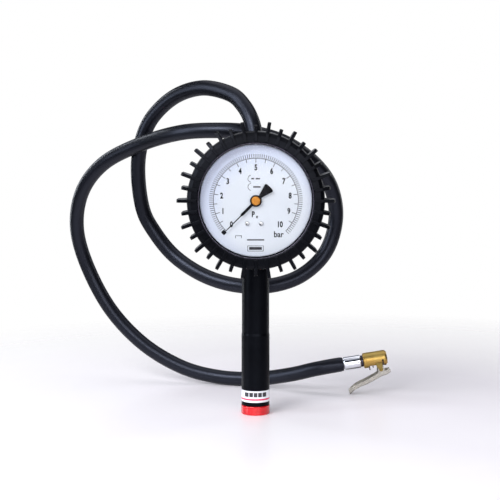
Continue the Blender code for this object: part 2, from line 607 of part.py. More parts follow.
def make_movement():
    axis = on_gauge()
    sheet = material("movement_brass", (0.70, 0.58, 0.30), 0.35, 1.0)
    corner = 2.5
    outline = [(-12, 8 - corner), (-12 + corner, 8), (12 - corner, 8), (12, 8 - corner),
               (12, -26 + corner), (12 - corner, -26), (-12 + corner, -26), (-12, -26 + corner)]
    back = plate("movement_back_plate", outline[::-1], 19.4, 20.6, axis, sheet)
    front = plate("movement_front_plate", outline[::-1], 32.3, 33.5, axis, sheet)
    for name, drop in (("pinion", 0.0), ("sector", GEAR_CENTRES)):
        bore = rod(f"{name}_pivot_bore", 1.1, 15, 40, on_gauge(drop=drop), None, 16)
        combine(back, bore)
        combine(front, bore)
    for name, x, drop in (("left", -9.0, -4.5), ("right", 9.0, -4.5), ("lower", -9.0, 23.0)):
        rod(f"pillar_{name}", 1.4, 20.9, 32.0, on_gauge(x, drop), brass(), 16)

    pinion = plate("pinion_arbor", tooth_outline(GEAR_MODULE * PINION_TEETH / 2, PINION_TEETH, 0,
                                                 PINION_TEETH, 0.0), 28.4, 31.4, axis, steel())
    combine(pinion, rod("arbor", 0.75, 20.0, 37.3, axis, None, 16), "UNION")

    pivot = on_gauge(drop=GEAR_CENTRES)
    pitch = GEAR_MODULE * SECTOR_TEETH / 2
    teeth = tooth_outline(pitch, SECTOR_TEETH, -1, 9, 360.0 / SECTOR_TEETH / 2)
    tail = arc(2.0, 200, 340, 8, (0, -SECTOR_TAIL))
    right_edge = [(9.6, 13.0), (2.6, 1.5), (2.2, -1.5)]
    left_edge = [(-2.2, -1.5), (-2.6, 1.5), (-2.4, 14.0)]
    blade = teeth + right_edge + tail[::-1] + left_edge
    sector = plate("sector_gear", blade, 29.2, 30.6, pivot, sheet)
    combine(sector, rod("sector_bore", 1.1, 20, 40, pivot, None, 16))
    tail_pin = rod("tail_pin", 0.6, 26.6, 30.0, on_gauge(drop=GEAR_CENTRES + SECTOR_TAIL), None, 12)
    combine(sector, tail_pin, "UNION")
    rod("sector_arbor", 0.8, 20.0, 33.2, pivot, steel(), 16)

    turns, steps, inner, outer = 3, 12, 1.7, 6.2
    spiral = []
    for i in range(turns * steps + 1):
        angle = 2 * math.pi * i / steps
        radius = inner + (outer - inner) * i / (turns * steps)
        spiral.append((radius * math.cos(angle), radius * math.sin(angle), 24.5))
    wire("hairspring", spiral, 0.2, axis, brass())


def make_dial():
    axis = on_gauge()
    dial = collar("dial_plate", 2.6, WINDOW_RADIUS - 0.3, 36.2, 37.0, axis,
                  material("dial_white", (0.90, 0.92, 0.98), 0.4), LARGE_SIDES)
    for side, x in zip(("left", "right"), DIAL_SCREW_X):
        spot = on_gauge(x, DIAL_SCREW_DROP)
        combine(dial, rod(f"screw_hole_{side}", 1.15, 30, 40, spot, None, 10))
        screw = turned(f"dial_screw_{side}", [(0, 38.4), (1.4, 38.4), (1.9, 37.9), (1.9, 37.3),
                                             (0.8, 37.3), (0.8, 33.8), (0, 33.8)], spot, steel(), 14)
        combine(screw, block(f"screw_slot_{side}", (-3, -0.2, 38.0), (3, 0.2, 39.0), spot))

    black = material("pointer_black", (0.012, 0.012, 0.014), 0.4)
    at_zero = axis @ Matrix.Rotation(math.radians(-POINTER_ZERO_DEG), 4, "Z")
    hub = 4.85
    outline = ([(-0.35, POINTER_LENGTH), (-0.5, 17.0), (-1.15, 16.0), (-1.15, 4.7)]
               + arc(hub, 104, 256, 14) + [(-1.6, -5.6), (-4.3, -15.0)]
               + arc(16.2, 254, 286, 6) + [(4.3, -15.0), (1.6, -5.6)]
               + arc(hub, -76, 76, 14) + [(1.15, 4.7), (1.15, 16.0), (0.5, 17.0),
                                          (0.35, POINTER_LENGTH)])
    pointer = plate("pointer", outline, 39.2, 39.8, at_zero, black)
    combine(pointer, rod("pointer_bore", 1.4, 38, 41, at_zero, None, 16))
    cap = turned("pointer_hub", [(0, 40.8), (3.3, 40.8), (3.7, 40.5), (3.7, 40.1), (1.1, 40.1),
                                 (1.1, 37.6), (0, 37.6)], at_zero, brass(), 20)
    combine(cap, block("hub_slot", (-5, -0.4, 40.4), (5, 0.4, 42.0), at_zero))


# --- hose and chuck ----------------------------------------------------------------
def make_hose():
    route = smooth_route(HOSE_ROUTE, HOSE_POINTS)
    wire("hose", route, HOSE_RADIUS, Matrix.Identity(4), rubber(), 2)


def make_chuck_fittings():
    axis = on_chuck()
    turned("chuck_ferrule", [
        (4.6, 16.0), (5.9, 16.0), (6.35, 15.4), (6.35, 0.9), (5.9, 0.3), (4.6, 0.3)], axis, chrome(),
        24, ring=True)
    turned("chuck_nipple", [
        (1.5, 23.4), (3.7, 23.4), (3.7, 18.3), (5.4, 18.3), (5.4, 16.3), (4.2, 16.3), (4.2, 9.0),
        (3.6, 9.0), (4.2, 5.5), (3.4, 2.2), (1.5, 2.2)], axis, dark_steel(), 20, ring=True)


def make_chuck_body():
    axis = on_chuck()
    body = turned("chuck_body", [
        (CHUCK_BORE, CHUCK_BODY_END), (5.6, CHUCK_BODY_END), (CHUCK_RADIUS, CHUCK_BODY_END - 1.8),
        (CHUCK_RADIUS, CHUCK_BODY_START + 0.6), (CHUCK_RADIUS - 0.6, CHUCK_BODY_START),
        (CHUCK_BORE, CHUCK_BODY_START)], axis, brass(), 28, ring=True)
    combine(body, block("body_flat", (CHUCK_FLAT, -9, 23.0), (12, 9, 37.8), axis))
    outline = [(28.6, 3.0), (35.3, 3.0), (35.3, 10.4), (34.4, 11.2), (32.6, 11.2)]
    for side in (-1, 1):
        low, high = sorted((side * 5.95, side * 7.15))
        combine(body, plate(f"chuck_ear_{side}", outline, low, high, beside_chuck()),
                "UNION")
        low, high = sorted((side * 4.7, side * 9.0))
        combine(body, block(f"side_slot_{side}", (0.2, low, 35.6), (9.0, high, 37.25), axis))
    combine(body, block("claw_slot", (0.2, -2.6, 35.4), (9.0, 2.6, 37.7), axis))
    along, down = CHUCK_PIVOT
    pivot = on_chuck(along, down) @ Matrix.Rotation(math.radians(-90), 4, "X")
    combine(body, rod("chuck_pin_bore", 1.3, -8, 8, pivot, None, 12))
    rod("chuck_lever_pin", 1.0, -7.5, 7.5, pivot, steel(), 12)
    wire("chuck_lever_spring", coil(1.6, -1.8, 1.8, 3), 0.3, pivot, steel())


def make_chuck_valve():
    axis = on_chuck()
    wire("chuck_pin_spring", coil(2.4, 24.0, 26.4, 2.5), 0.3, axis, steel())
    turned("chuck_pin", [(0, 35.2), (1.1, 35.2), (1.1, 28.4), (3.3, 28.4), (3.3, 27.0), (0, 27.0)],
           axis, brass(), 16)
    collar("chuck_seal", 1.5, CHUCK_BORE - GAP, 30.8, 33.4, axis, seal_rubber())


def make_chuck_lever():
    """The pressed channel lever: an S along the chuck, open towards the body, with a claw.

    Its outline's local X runs along the chuck from the pivot and its local Y points down.
    """
    at = beside_chuck(*CHUCK_PIVOT)
    nose_end, tip_end = CHUCK_LEVER_LINE[0], CHUCK_LEVER_LINE[-1]
    above, below = [], []
    for i, (x, y, half) in enumerate(CHUCK_LEVER_LINE):
        before = CHUCK_LEVER_LINE[max(i - 1, 0)]
        after = CHUCK_LEVER_LINE[min(i + 1, len(CHUCK_LEVER_LINE) - 1)]
        run = Vector((after[0] - before[0], after[1] - before[1])).normalized()
        above.append((x - run.y * half, y + run.x * half))
        below.append((x + run.y * half, y - run.x * half))
    cheek = [(3.6, 2.4)] + arc(2.8, 0, -180, 6) + [(-3.8, 3.6)]
    top = [p for p in above if p[0] > 3.6] + cheek + [p for p in above if p[0] < -3.8]
    sheet, width = 1.0, 5.7
    lever = plate("chuck_lever", top + below[::-1], -width, width, at,
                  material("satin_steel", (0.62, 0.61, 0.58), 0.35, 1.0))
    floor = [(x, y - sheet) for x, y in below]
    floor[0] = (nose_end[0] + 5, floor[0][1])
    floor[-1] = (tip_end[0] - 5, floor[-1][1] + 1.0)
    raised = [(x, y - 25.0) for x, y in floor]
    combine(lever, plate("lever_trough", floor + raised[::-1], -width + sheet, width - sheet, at))
    combine(lever, plate("lever_claw", [(2.2, -4.6), (3.0, -4.6), (3.0, 6.2), (2.2, 6.2)], -2.2, 2.2,
                         at), "UNION")
    combine(lever, rod("lever_pivot_bore", 1.3, -8, 8, at, None, 12))


def main():
    clear_scene()
    make_inlet()
    make_body_tube()
    make_grip()
    make_valve()
    make_trigger()
    make_bleed_valve()
    make_outlet()
    make_gauge_case()
    make_boot()
    make_socket()
    make_spring_tube()
    make_movement()
    make_dial()
    make_hose()
    make_chuck_fittings()
    make_chuck_body()
    make_chuck_valve()
    make_chuck_lever()


main()
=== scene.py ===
"""Tyre inflator with gauge: the finished look of each piece, laid out as a Blender add-on."""
import math

import bmesh
import bpy
import numpy as np
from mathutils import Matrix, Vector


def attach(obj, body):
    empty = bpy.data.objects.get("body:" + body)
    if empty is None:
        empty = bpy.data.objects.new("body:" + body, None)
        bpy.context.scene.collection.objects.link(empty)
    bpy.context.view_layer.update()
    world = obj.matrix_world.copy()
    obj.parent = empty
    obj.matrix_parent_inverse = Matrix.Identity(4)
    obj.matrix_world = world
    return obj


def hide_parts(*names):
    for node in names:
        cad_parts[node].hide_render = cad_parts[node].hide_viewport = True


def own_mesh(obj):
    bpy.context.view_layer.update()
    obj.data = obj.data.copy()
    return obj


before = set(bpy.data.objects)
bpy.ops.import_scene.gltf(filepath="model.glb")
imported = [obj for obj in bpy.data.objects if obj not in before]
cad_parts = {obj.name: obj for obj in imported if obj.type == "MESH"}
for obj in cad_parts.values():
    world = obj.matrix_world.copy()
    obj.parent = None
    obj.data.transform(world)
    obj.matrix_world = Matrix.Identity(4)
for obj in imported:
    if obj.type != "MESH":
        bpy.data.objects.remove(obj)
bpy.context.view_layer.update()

bl_info = {
    "name": "Tyre inflator with gauge",
    "version": (1, 0, 0),
    "blender": (4, 5, 0),
    "location": "3D View > Sidebar > Inflator",
    "description": "Builds the visible pieces and finishes of a hand-held tyre inflator",
    "category": "Add Mesh",
}

MM = 0.001

HANDLE_Y = 16.0
GAUGE_Z = 187.5
VALVE_Z = 128.0
TRIGGER_PIVOT = (0.0, 31.5, 148.0)
BLEED_Z = 168.0
CHUCK_ORIGIN = (82.8, 99.0, 28.0)
CHUCK_TILT_DEG = 9.2
LEVER_ALONG, LEVER_DOWN = 33.5, 9.0
SWEEP_DEG = 270.0
ZERO_DEG = -135.0
VENT_RISE = 30.0
DIAL_FACE = 37.0
PRINT_FACE = 37.03
RIB_COUNT = 36
DIAL_SCREWS = (("left", -7.1), ("right", 4.3))
DIAL_SCREW_DROP = 18.6
HUB_RADIUS = 4.85
WELD = 2e-7

# The soft lights: name, place, width and height in metres, watts and colour.
LIGHTS = (
    ("key", (-0.70, -0.95, 0.95), (0.7, 0.7), 19.0, (0.95, 0.97, 1.0)),
    ("front", (0.25, -1.35, 0.42), (1.5, 0.55), 11.5, (0.98, 0.98, 1.0)),
    ("top", (0.1, 0.25, 1.3), (1.4, 1.1), 4.0, (1.0, 0.98, 1.0)),
    ("left", (-1.1, -0.35, 0.45), (0.45, 0.9), 7.0, (0.86, 0.92, 1.0)),
    ("left edge", (-0.65, 0.55, 0.30), (0.12, 0.8), 2.0, (0.9, 0.95, 1.0)),
    ("right edge", (0.65, 0.55, 0.30), (0.12, 0.8), 1.2, (1.0, 1.0, 1.0)),
)
LIT_POINT = (0.0, 0.0, 0.15)
CAMERA_PLACE = (-0.0048, -1.044, 0.236)
CAMERA_TILT_DEG = 90.0 - 5.04
CAMERA_LENS = 88.9

# A box's faces, for corners that go round the bottom and then round the top.
BOX_FACES = np.array([[0, 3, 2, 1], [4, 5, 6, 7], [0, 1, 5, 4], [1, 2, 6, 5], [2, 3, 7, 6],
                      [3, 0, 4, 7]])

# The hose's middle line, in metres, from the handle's ferrule to the chuck.
HOSE_ROUTE = (
    (0.0, 0.016, 0.2243), (0.0, 0.016, 0.237), (-0.003, 0.020, 0.252), (-0.010, 0.029, 0.266),
    (-0.022, 0.040, 0.277), (-0.047, 0.060, 0.283), (-0.073, 0.081, 0.276),
    (-0.095, 0.098, 0.257), (-0.106, 0.106, 0.233), (-0.1095, 0.113, 0.206),
    (-0.106, 0.119, 0.173), (-0.096, 0.120, 0.152), (-0.077, 0.115, 0.129),
    (-0.050, 0.103, 0.112), (-0.020, 0.092, 0.1035), (0.012, 0.087, 0.103),
    (0.042, 0.091, 0.112), (0.065, 0.097, 0.133), (0.0745, 0.097, 0.163),
    (0.070, 0.088, 0.192), (0.054, 0.071, 0.215), (0.027, 0.050, 0.234),
    (-0.004, 0.0355, 0.2433), (-0.032, 0.037, 0.2453), (-0.066, 0.053, 0.2435),
    (-0.104, 0.090, 0.2335), (-0.142, 0.121, 0.2155), (-0.166, 0.145, 0.188),
    (-0.1745, 0.164, 0.152), (-0.166, 0.173, 0.113), (-0.143, 0.170, 0.070),
    (-0.110, 0.160, 0.037), (-0.072, 0.150, 0.016), (-0.036, 0.142, 0.0076),
    (0.0, 0.131, 0.0078), (0.032, 0.114, 0.0148), (0.055, 0.1025, 0.0222),
    (0.070, 0.0991, 0.0258), (0.0825, 0.099, 0.02795),
)

# The chuck lever's middle line: along and down from its pivot, and half its depth, in mm.
LEVER_LINE = (
    (8.6, 3.2, 1.5), (5.0, 4.2, 2.1), (0.0, 4.9, 2.3), (-7.0, 7.6, 2.3), (-15.0, 10.4, 2.1),
    (-22.0, 12.3, 1.9), (-27.0, 14.5, 1.8), (-32.2, 17.9, 1.4),
)


# --- sizes and colours a user may change -------------------------------------------
def size(name, text, default, low, high):
    """A length property in metres, from a value in millimetres."""
    return bpy.props.FloatProperty(name=name, description=text, default=default * MM,
                                   min=low * MM, max=high * MM, unit="LENGTH", precision=5)


def tint(name, text, default):
    """A colour property."""
    return bpy.props.FloatVectorProperty(name=name, description=text, default=default,
                                         subtype="COLOR", size=3, min=0.0, max=1.0)


class INFLATOR_PG_sizes(bpy.types.PropertyGroup):
    """Sizes of the visible pieces."""
    hose_radius: size("Hose radius", "Outer radius of the rubber hose", 6.85, 4, 9)
    rib_width: size("Rib width", "Thickness of one rib of the boot", 2.7, 1.5, 4)
    rib_long: size("Long rib", "Distance of a long rib's tip from the gauge's middle", 64.7, 60, 66)
    rib_short: size("Short rib", "Distance of a short rib's tip from the gauge's middle", 61.7, 58, 65)
    numeral_height: size("Numeral height", "Height of the numerals on the dial", 4.7, 3, 7)
    numeral_radius: size("Numeral circle", "Radius of the circle the numerals stand on", 27.2, 20, 30)
    scale_radius: size("Scale radius", "Radius of the thin line of the scale", 34.6, 30, 38)
    pointer_length: size("Pointer length", "Reach of the pointer's tip", 36.4, 30, 38)


class INFLATOR_PG_colours(bpy.types.PropertyGroup):
    """Colours of the finishes."""
    rubber: tint("Rubber", "Black rubber of the grip, the boot and the hose", (0.0014, 0.0015, 0.0022))
    rubber_bloom: tint("Rubber bloom", "Blue-grey bloom on the rubber", (0.0030, 0.0034, 0.0052))
    ring: tint("End ring", "Red anodised end ring", (0.74, 0.0, 0.006))
    label: tint("Label", "Ground of the label band", (0.86, 0.87, 0.92))
    dial: tint("Dial", "Ground of the dial", (0.88, 0.93, 1.0))
    # Painted shade and reflection: the colour the dial is mixed to near its rim, most at the top and the
    # left.
    dial_painted_shade: tint("Dial shade", "Painted shade and reflection on the dial near its rim and top", (0.66, 0.74, 1.0))
    brass: tint("Brass", "Machined brass of the chuck", (0.50, 0.36, 0.11))
    brass_deep: tint("Brass, deep", "Darker and redder tone of the brass", (0.42, 0.17, 0.03))
    chrome: tint("Chrome", "Plated ferrules", (0.82, 0.84, 0.88))
    lever: tint("Lever", "Satin plated sheet of the chuck lever", (0.42, 0.40, 0.36))


# --- frames: a piece's own millimetres to the row's metres --------------------------
def placed(points, origin, right, up, out):
    """Points x, y, z of a piece's own frame: origin + x * right + y * up + z * out, in metres."""
    axes = np.array([right, up, out], float)
    return (np.asarray(points, float) @ axes + np.array(origin, float)) * MM


def on_handle(points):
    """Local z runs up the handle's axis."""
    return placed(points, (0, HANDLE_Y, 0), (1, 0, 0), (0, 1, 0), (0, 0, 1))


def on_gauge(points):
    """Local x to the right, y up, z forward out of the dial."""
    return placed(points, (0, 0, GAUGE_Z), (1, 0, 0), (0, 0, 1), (0, -1, 0))


def behind(height):
    """A frame whose local z runs backwards from the handle's axis, at a height."""
    return lambda points: placed(points, (0, HANDLE_Y, height), (1, 0, 0), (0, 0, -1), (0, 1, 0))


def ahead(height):
    """A frame whose local z runs forwards from the handle's axis, at a height."""
    return lambda points: placed(points, (0, HANDLE_Y, height), (1, 0, 0), (0, 0, 1), (0, -1, 0))


def on_trigger(points):
    """Local x runs down the handle and y backwards from the trigger's pivot; z is sideways."""
    return placed(points, TRIGGER_PIVOT, (0, 0, -1), (0, 1, 0), (1, 0, 0))


def on_chuck(points):
    """Local z runs from the hose to the chuck's nose, x down, y backwards."""
    tilt = math.radians(CHUCK_TILT_DEG)
    along = (math.cos(tilt), 0, math.sin(tilt))
    down = (math.sin(tilt), 0, -math.cos(tilt))
    return placed(points, CHUCK_ORIGIN, down, (0, 1, 0), along)


def on_lever(points):
    """Local x runs along the chuck from the lever's pivot, y down, z sideways."""
    points = np.asarray(points, float)
    x, y, z = points[..., 0], points[..., 1], points[..., 2]
    return on_chuck(np.stack([y + LEVER_DOWN, z, x + LEVER_ALONG], -1))


# --- surfaces ----------------------------------------------------------------------
def grid_faces(rows, columns, round_rows, round_columns):
    """Four-sided faces of a grid of points; a round way joins its last line to its first."""
    row = np.arange(rows if round_rows else rows - 1)
    column = np.arange(columns if round_columns else columns - 1)
    row, column = np.meshgrid(row, column, indexing="ij")
    next_row, next_column = (row + 1) % rows, (column + 1) % columns
    corners = [row * columns + column, row * columns + next_column,
               next_row * columns + next_column, next_row * columns + column]
    return np.stack(corners, -1).reshape(-1, 4)


def capped(rows, columns):
    """Faces of a stack of rings, with one flat face over each end."""
    faces = grid_faces(rows, columns, False, True).tolist()
    first = np.arange(columns)
    return faces + [first[::-1].tolist(), (first + (rows - 1) * columns).tolist()]


def eased(corners, radius, steps=4, closed=True):
    """Rounds each corner P of an outline: P + t((1-s)^2 a + s^2 b), s from 0 to 1.

    a and b point to the neighbours, and t is the length the rounding takes off each side.
    """
    p = np.asarray(corners, float)
    before, after = np.roll(p, 1, 0) - p, np.roll(p, -1, 0) - p
    long_a = np.maximum(np.linalg.norm(before, axis=1), 1e-9)
    long_b = np.maximum(np.linalg.norm(after, axis=1), 1e-9)
    a, b = before / long_a[:, None], after / long_b[:, None]
    half = np.arccos(np.clip((a * b).sum(1), -0.9999, 0.9999)) / 2
    take = np.minimum(np.broadcast_to(radius, len(p)) / np.tan(half),
                      0.45 * np.minimum(long_a, long_b))
    if not closed:
        take = np.where(np.isin(np.arange(len(p)), (0, len(p) - 1)), 0.0, take)
    s = np.linspace(0, 1, steps + 1)[None, :, None]
    curve = (1 - s) ** 2 * a[:, None] + s ** 2 * b[:, None]
    return (p[:, None] + take[:, None, None] * curve).reshape(-1, p.shape[1])


def turned(profile, place, steps=64, closed=True, start=0.0):
    """Turned surface: a profile's (radius, height) at angle a is (r cos a, r sin a, h)."""
    angle = start + np.linspace(0, 2 * np.pi, steps, endpoint=False)
    radius, height = np.asarray(profile, float).T
    points = np.stack([np.outer(radius, np.cos(angle)), np.outer(radius, np.sin(angle)),
                       np.outer(height, np.ones(steps))], -1)
    return place(points).reshape(-1, 3), grid_faces(len(profile), steps, closed, True)


def slab(outline, low, high, edge, place, steps=3):
    """A flat outline given thickness: level k stands at height h(k), pulled in by i(k).

    Over a rounded edge of radius e, h = e sin(f) and i = e (1 - cos(f)), f from 0 to 90 degrees.
    """
    flat = np.asarray(outline, float)
    along = np.roll(flat, -1, 0) - np.roll(flat, 1, 0)
    along /= np.maximum(np.linalg.norm(along, axis=1), 1e-9)[:, None]
    area = (flat[:, 0] * np.roll(flat[:, 1], -1) - np.roll(flat[:, 0], -1) * flat[:, 1]).sum()
    inwards = np.stack([-along[:, 1], along[:, 0]], -1) * np.sign(area)
    f = np.linspace(0, np.pi / 2, steps + 1)
    height = np.concatenate([low + edge * (1 - np.sin(f[::-1])), high - edge * (1 - np.sin(f))])
    pulled = np.concatenate([edge * (1 - np.cos(f[::-1])), edge * (1 - np.cos(f))])
    ring = flat[None] + inwards[None] * pulled[:, None, None]
    points = np.concatenate([ring, np.broadcast_to(height[:, None, None],
                                                   (*ring.shape[:2], 1))], -1)
    return place(points).reshape(-1, 3), capped(*points.shape[:2])


def curve_through(knots, count):
    """Evenly spaced points on the Catmull-Rom curve through the knots.

    Each span is (2b + (c-a)t + (2a-5b+4c-d)t^2 + (3b-a-3c+d)t^3) / 2 for t from 0 to 1.
    """
    k = np.asarray(knots, float)
    k = np.concatenate([2 * k[:1] - k[1:2], k, 2 * k[-1:] - k[-2:-1]])
    a, b, c, d = k[:-3, None], k[1:-2, None], k[2:-1, None], k[3:, None]
    t = np.linspace(0, 1, 24, endpoint=False)[None, :, None]
    spans = (2 * b + (c - a) * t + (2 * a - 5 * b + 4 * c - d) * t ** 2
             + (3 * b - a - 3 * c + d) * t ** 3) / 2
    fine = np.concatenate([spans.reshape(-1, k.shape[1]), k[-2:-1]])
    travelled = np.concatenate([[0], np.cumsum(np.linalg.norm(np.diff(fine, axis=0), axis=1))])
    wanted = np.linspace(0, travelled[-1], count)
    return np.stack([np.interp(wanted, travelled, fine[:, i]) for i in range(k.shape[1])], -1)


def tube(path, radius, sides, across):
    """A round tube: middle + radius (n cos a + b sin a), n square to the path and near across."""
    middle = np.asarray(path, float)
    along = np.gradient(middle, axis=0)
    along /= np.linalg.norm(along, axis=1)[:, None]
    normal = np.asarray(across, float) - (along @ np.asarray(across, float))[:, None] * along
    normal /= np.linalg.norm(normal, axis=1)[:, None]
    other = np.cross(along, normal)
    angle = np.linspace(0, 2 * np.pi, sides, endpoint=False)[None, :, None]
    radius = np.broadcast_to(radius, len(middle))[:, None, None]
    points = middle[:, None] + radius * (normal[:, None] * np.cos(angle) + other[:, None] * np.sin(angle))
    return points.reshape(-1, 3), capped(len(middle), sides)


def as_lists(faces):
    """Faces as plain lists, whether they came as an array or as lists."""
    return faces.tolist() if isinstance(faces, np.ndarray) else faces


def together(*shells):
    """Several shells as one list of points and one of faces."""
    points, faces, first = [], [], 0
    for shell_points, shell_faces in shells:
        points.append(shell_points)
        faces += [[first + i for i in face] for face in as_lists(shell_faces)]
        first += len(shell_points)
    return np.concatenate(points), faces


def arc(radius, start_deg, end_deg, count, centre=(0.0, 0.0)):
    """Points (r cos a, r sin a) round a centre, a from start to end."""
    angle = np.radians(np.linspace(start_deg, end_deg, count))
    return np.stack([centre[0] + radius * np.cos(angle), centre[1] + radius * np.sin(angle)], -1)


def linked(name, data):
    """An object at the origin, linked to the scene."""
    made = bpy.data.objects.new(name, data)
    bpy.context.scene.collection.objects.link(made)
    return made


def welded(name, shell, uv=None):
    """A mesh of a shell with its seams closed and its faces turned outwards."""
    points, faces = shell
    mesh = bpy.data.meshes.new(name)
    mesh.from_pydata(points.tolist(), [], as_lists(faces))
    if uv is not None:
        layer = mesh.uv_layers.new(name="surface")
        layer.data.foreach_set("uv", np.asarray(uv, np.float32).ravel())
    body = bmesh.new()
    body.from_mesh(mesh)
    bmesh.ops.remove_doubles(body, verts=body.verts, dist=WELD)
    bmesh.ops.recalc_face_normals(body, faces=body.faces)
    body.to_mesh(mesh)
    body.free()
    return mesh


def smooth(piece, sharp):
    """Smooth shading up to an angle in degrees, evened out by the faces' sizes."""
    piece.data.shade_smooth()
    piece.data.set_sharp_from_angle(angle=math.radians(sharp))
    shading = piece.modifiers.new("even shading", "WEIGHTED_NORMAL")
    shading.keep_sharp = True


def add_piece(name, shell, finish, body="inflator", stands_for=(), uv=None):
    """Adds a shell as a piece that rides on a body and may stand for CAD nodes."""
    piece = linked(name, welded(name, shell, uv))
    smooth(piece, 38.0)
    piece.data.materials.append(finish)
    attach(piece, body)
    if stands_for:
        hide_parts(*stands_for)
    return piece


# --- shared node groups --------------------------------------------------------------
def group_tree(name, inputs, outputs):
    """An empty node group with named inputs and outputs."""
    tree = bpy.data.node_groups.new(name, "ShaderNodeTree")
    kinds = {"value": "NodeSocketFloat", "colour": "NodeSocketColor", "vector": "NodeSocketVector"}
    for label, kind, default in inputs:
        made = tree.interface.new_socket(name=label, in_out="INPUT", socket_type=kinds[kind])
        if default is not None:
            made.default_value = default
    for label, kind in outputs:
        tree.interface.new_socket(name=label, in_out="OUTPUT", socket_type=kinds[kind])
    return tree, tree.nodes.new("NodeGroupInput"), tree.nodes.new("NodeGroupOutput")


def noise(tree, vector, scale, detail=4.0, roughness=0.55):
    """A soft cloud; its scale may be a socket."""
    node = tree.nodes.new("ShaderNodeTexNoise")
    node.inputs["Detail"].default_value = detail
    node.inputs["Roughness"].default_value = roughness
    tree.links.new(vector, node.inputs["Vector"])
    feed(tree, node.inputs["Scale"], scale)
    return node.outputs["Fac"]


def feed(tree, socket, given):
    """Links a socket, or sets it to a number or a colour."""
    if isinstance(given, bpy.types.NodeSocket):
        tree.links.new(given, socket)
    elif socket.type == "RGBA" and len(given) == 3:
        socket.default_value = (*given, 1.0)
    else:
        socket.default_value = given


def spread(tree, value, low, high, to_low, to_high):
    """Maps a value from low..high to to_low..to_high; the last two may be sockets."""
    node = tree.nodes.new("ShaderNodeMapRange")
    tree.links.new(value, node.inputs["Value"])
    for label, given in (("From Min", low), ("From Max", high), ("To Min", to_low), ("To Max", to_high)):
        feed(tree, node.inputs[label], given)
    return node.outputs["Result"]


def blended(tree, share, first, second):
    """Mixes two colours; each may be a socket or a colour."""
    node = tree.nodes.new("ShaderNodeMix")
    node.data_type = "RGBA"
    tree.links.new(share, node.inputs["Factor"])
    colour_a, colour_b = [socket for socket in node.inputs if socket.type == "RGBA"]
    feed(tree, colour_a, first)
    feed(tree, colour_b, second)
    return [socket for socket in node.outputs if socket.type == "RGBA"][0]


def sums(tree, operation, first, second):
    """A Math node; each term may be a socket or a number."""
    node = tree.nodes.new("ShaderNodeMath")
    node.operation = operation
    for socket, given in zip(node.inputs, (first, second)):
        feed(tree, socket, given)
    return node.outputs["Value"]


def stripe(tree, value, middle, half):
    """One where a value in metres is within half of the middle, both in millimetres."""
    inside = sums(tree, "COMPARE", value, middle * MM)
    inside.node.inputs[2].default_value = half * MM
    return inside


def uneven_tone_group():
    """Two tones of one finish, mixed by a soft cloud; puts out the colour and the cloud."""
    tree, given, out = group_tree("Uneven tone", [
        ("Vector", "vector", None), ("Tone", "colour", (0.5, 0.5, 0.5, 1)),
        ("Second tone", "colour", (0.4, 0.4, 0.4, 1)), ("Scale", "value", 40.0),
        ("Amount", "value", 0.5)], [("Colour", "colour"), ("Cloud", "value")])
    cloud = noise(tree, given.outputs["Vector"], given.outputs["Scale"])
    sharp = spread(tree, cloud, 0.36, 0.66, 0.0, given.outputs["Amount"])
    tree.links.new(blended(tree, sharp, given.outputs["Tone"], given.outputs["Second tone"]),
                   out.inputs["Colour"])
    tree.links.new(cloud, out.inputs["Cloud"])
    return tree


def moulded_grain_group():
    """Fine pitted grain of a moulded or cast skin; puts out a height and a roughness."""
    tree, given, out = group_tree("Moulded grain", [
        ("Vector", "vector", None), ("Scale", "value", 900.0), ("Smooth", "value", 0.4),
        ("Rough", "value", 0.6)], [("Height", "value"), ("Roughness", "value")])
    coarse = noise(tree, given.outputs["Vector"], given.outputs["Scale"], 3.0, 0.6)
    wide = noise(tree, given.outputs["Vector"],
                 sums(tree, "MULTIPLY", given.outputs["Scale"], 0.06), 4.0, 0.6)
    tree.links.new(sums(tree, "ADD", coarse, sums(tree, "MULTIPLY", wide, 0.7)), out.inputs["Height"])
    tree.links.new(spread(tree, wide, 0.3, 0.7, given.outputs["Smooth"], given.outputs["Rough"]),
                   out.inputs["Roughness"])
    return tree


def drawn_lines_group():
    """Fine parallel lines left by turning or brushing; Stretch squeezes them along each axis."""
    tree, given, out = group_tree("Drawn lines", [
        ("Vector", "vector", None), ("Stretch", "vector", (1.0, 1.0, 1.0)),
        ("Scale", "value", 400.0), ("Smooth", "value", 0.15), ("Rough", "value", 0.35)],
        [("Height", "value"), ("Roughness", "value")])
    squeezed = tree.nodes.new("ShaderNodeVectorMath")
    squeezed.operation = "MULTIPLY"
    tree.links.new(given.outputs["Vector"], squeezed.inputs[0])
    tree.links.new(given.outputs["Stretch"], squeezed.inputs[1])
    lines = noise(tree, squeezed.outputs["Vector"], given.outputs["Scale"], 2.0, 0.5)
    tree.links.new(lines, out.inputs["Height"])
    tree.links.new(spread(tree, lines, 0.3, 0.7, given.outputs["Smooth"], given.outputs["Rough"]),
                   out.inputs["Roughness"])
    return tree


def dust_and_top_light_group():
    """A mask of dusting and painted top light: strongest where the surface looks up, broken by a cloud.
    """
    tree, given, out = group_tree("Dust and top light", [
        ("Vector", "vector", None), ("Scale", "value", 120.0), ("Amount", "value", 0.3)],
        [("Mask", "value")])
    facing = tree.nodes.new("ShaderNodeNewGeometry")
    parts = tree.nodes.new("ShaderNodeSeparateXYZ")
    tree.links.new(facing.outputs["Normal"], parts.inputs["Vector"])
    upward = spread(tree, parts.outputs["Z"], 0.1, 1.0, 0.0, given.outputs["Amount"])
    cloud = spread(tree, noise(tree, given.outputs["Vector"], given.outputs["Scale"]),
                   0.4, 0.65, 0.35, 1.0)
    tree.links.new(sums(tree, "MULTIPLY", upward, cloud), out.inputs["Mask"])
    return tree


def shared_group(name):
    """The shared group of that name, built the first time it is asked for."""
    makers = {"Uneven tone": uneven_tone_group, "Moulded grain": moulded_grain_group,
              "Drawn lines": drawn_lines_group, "Dust and top light": dust_and_top_light_group}
    return bpy.data.node_groups.get(name) or makers[name]()


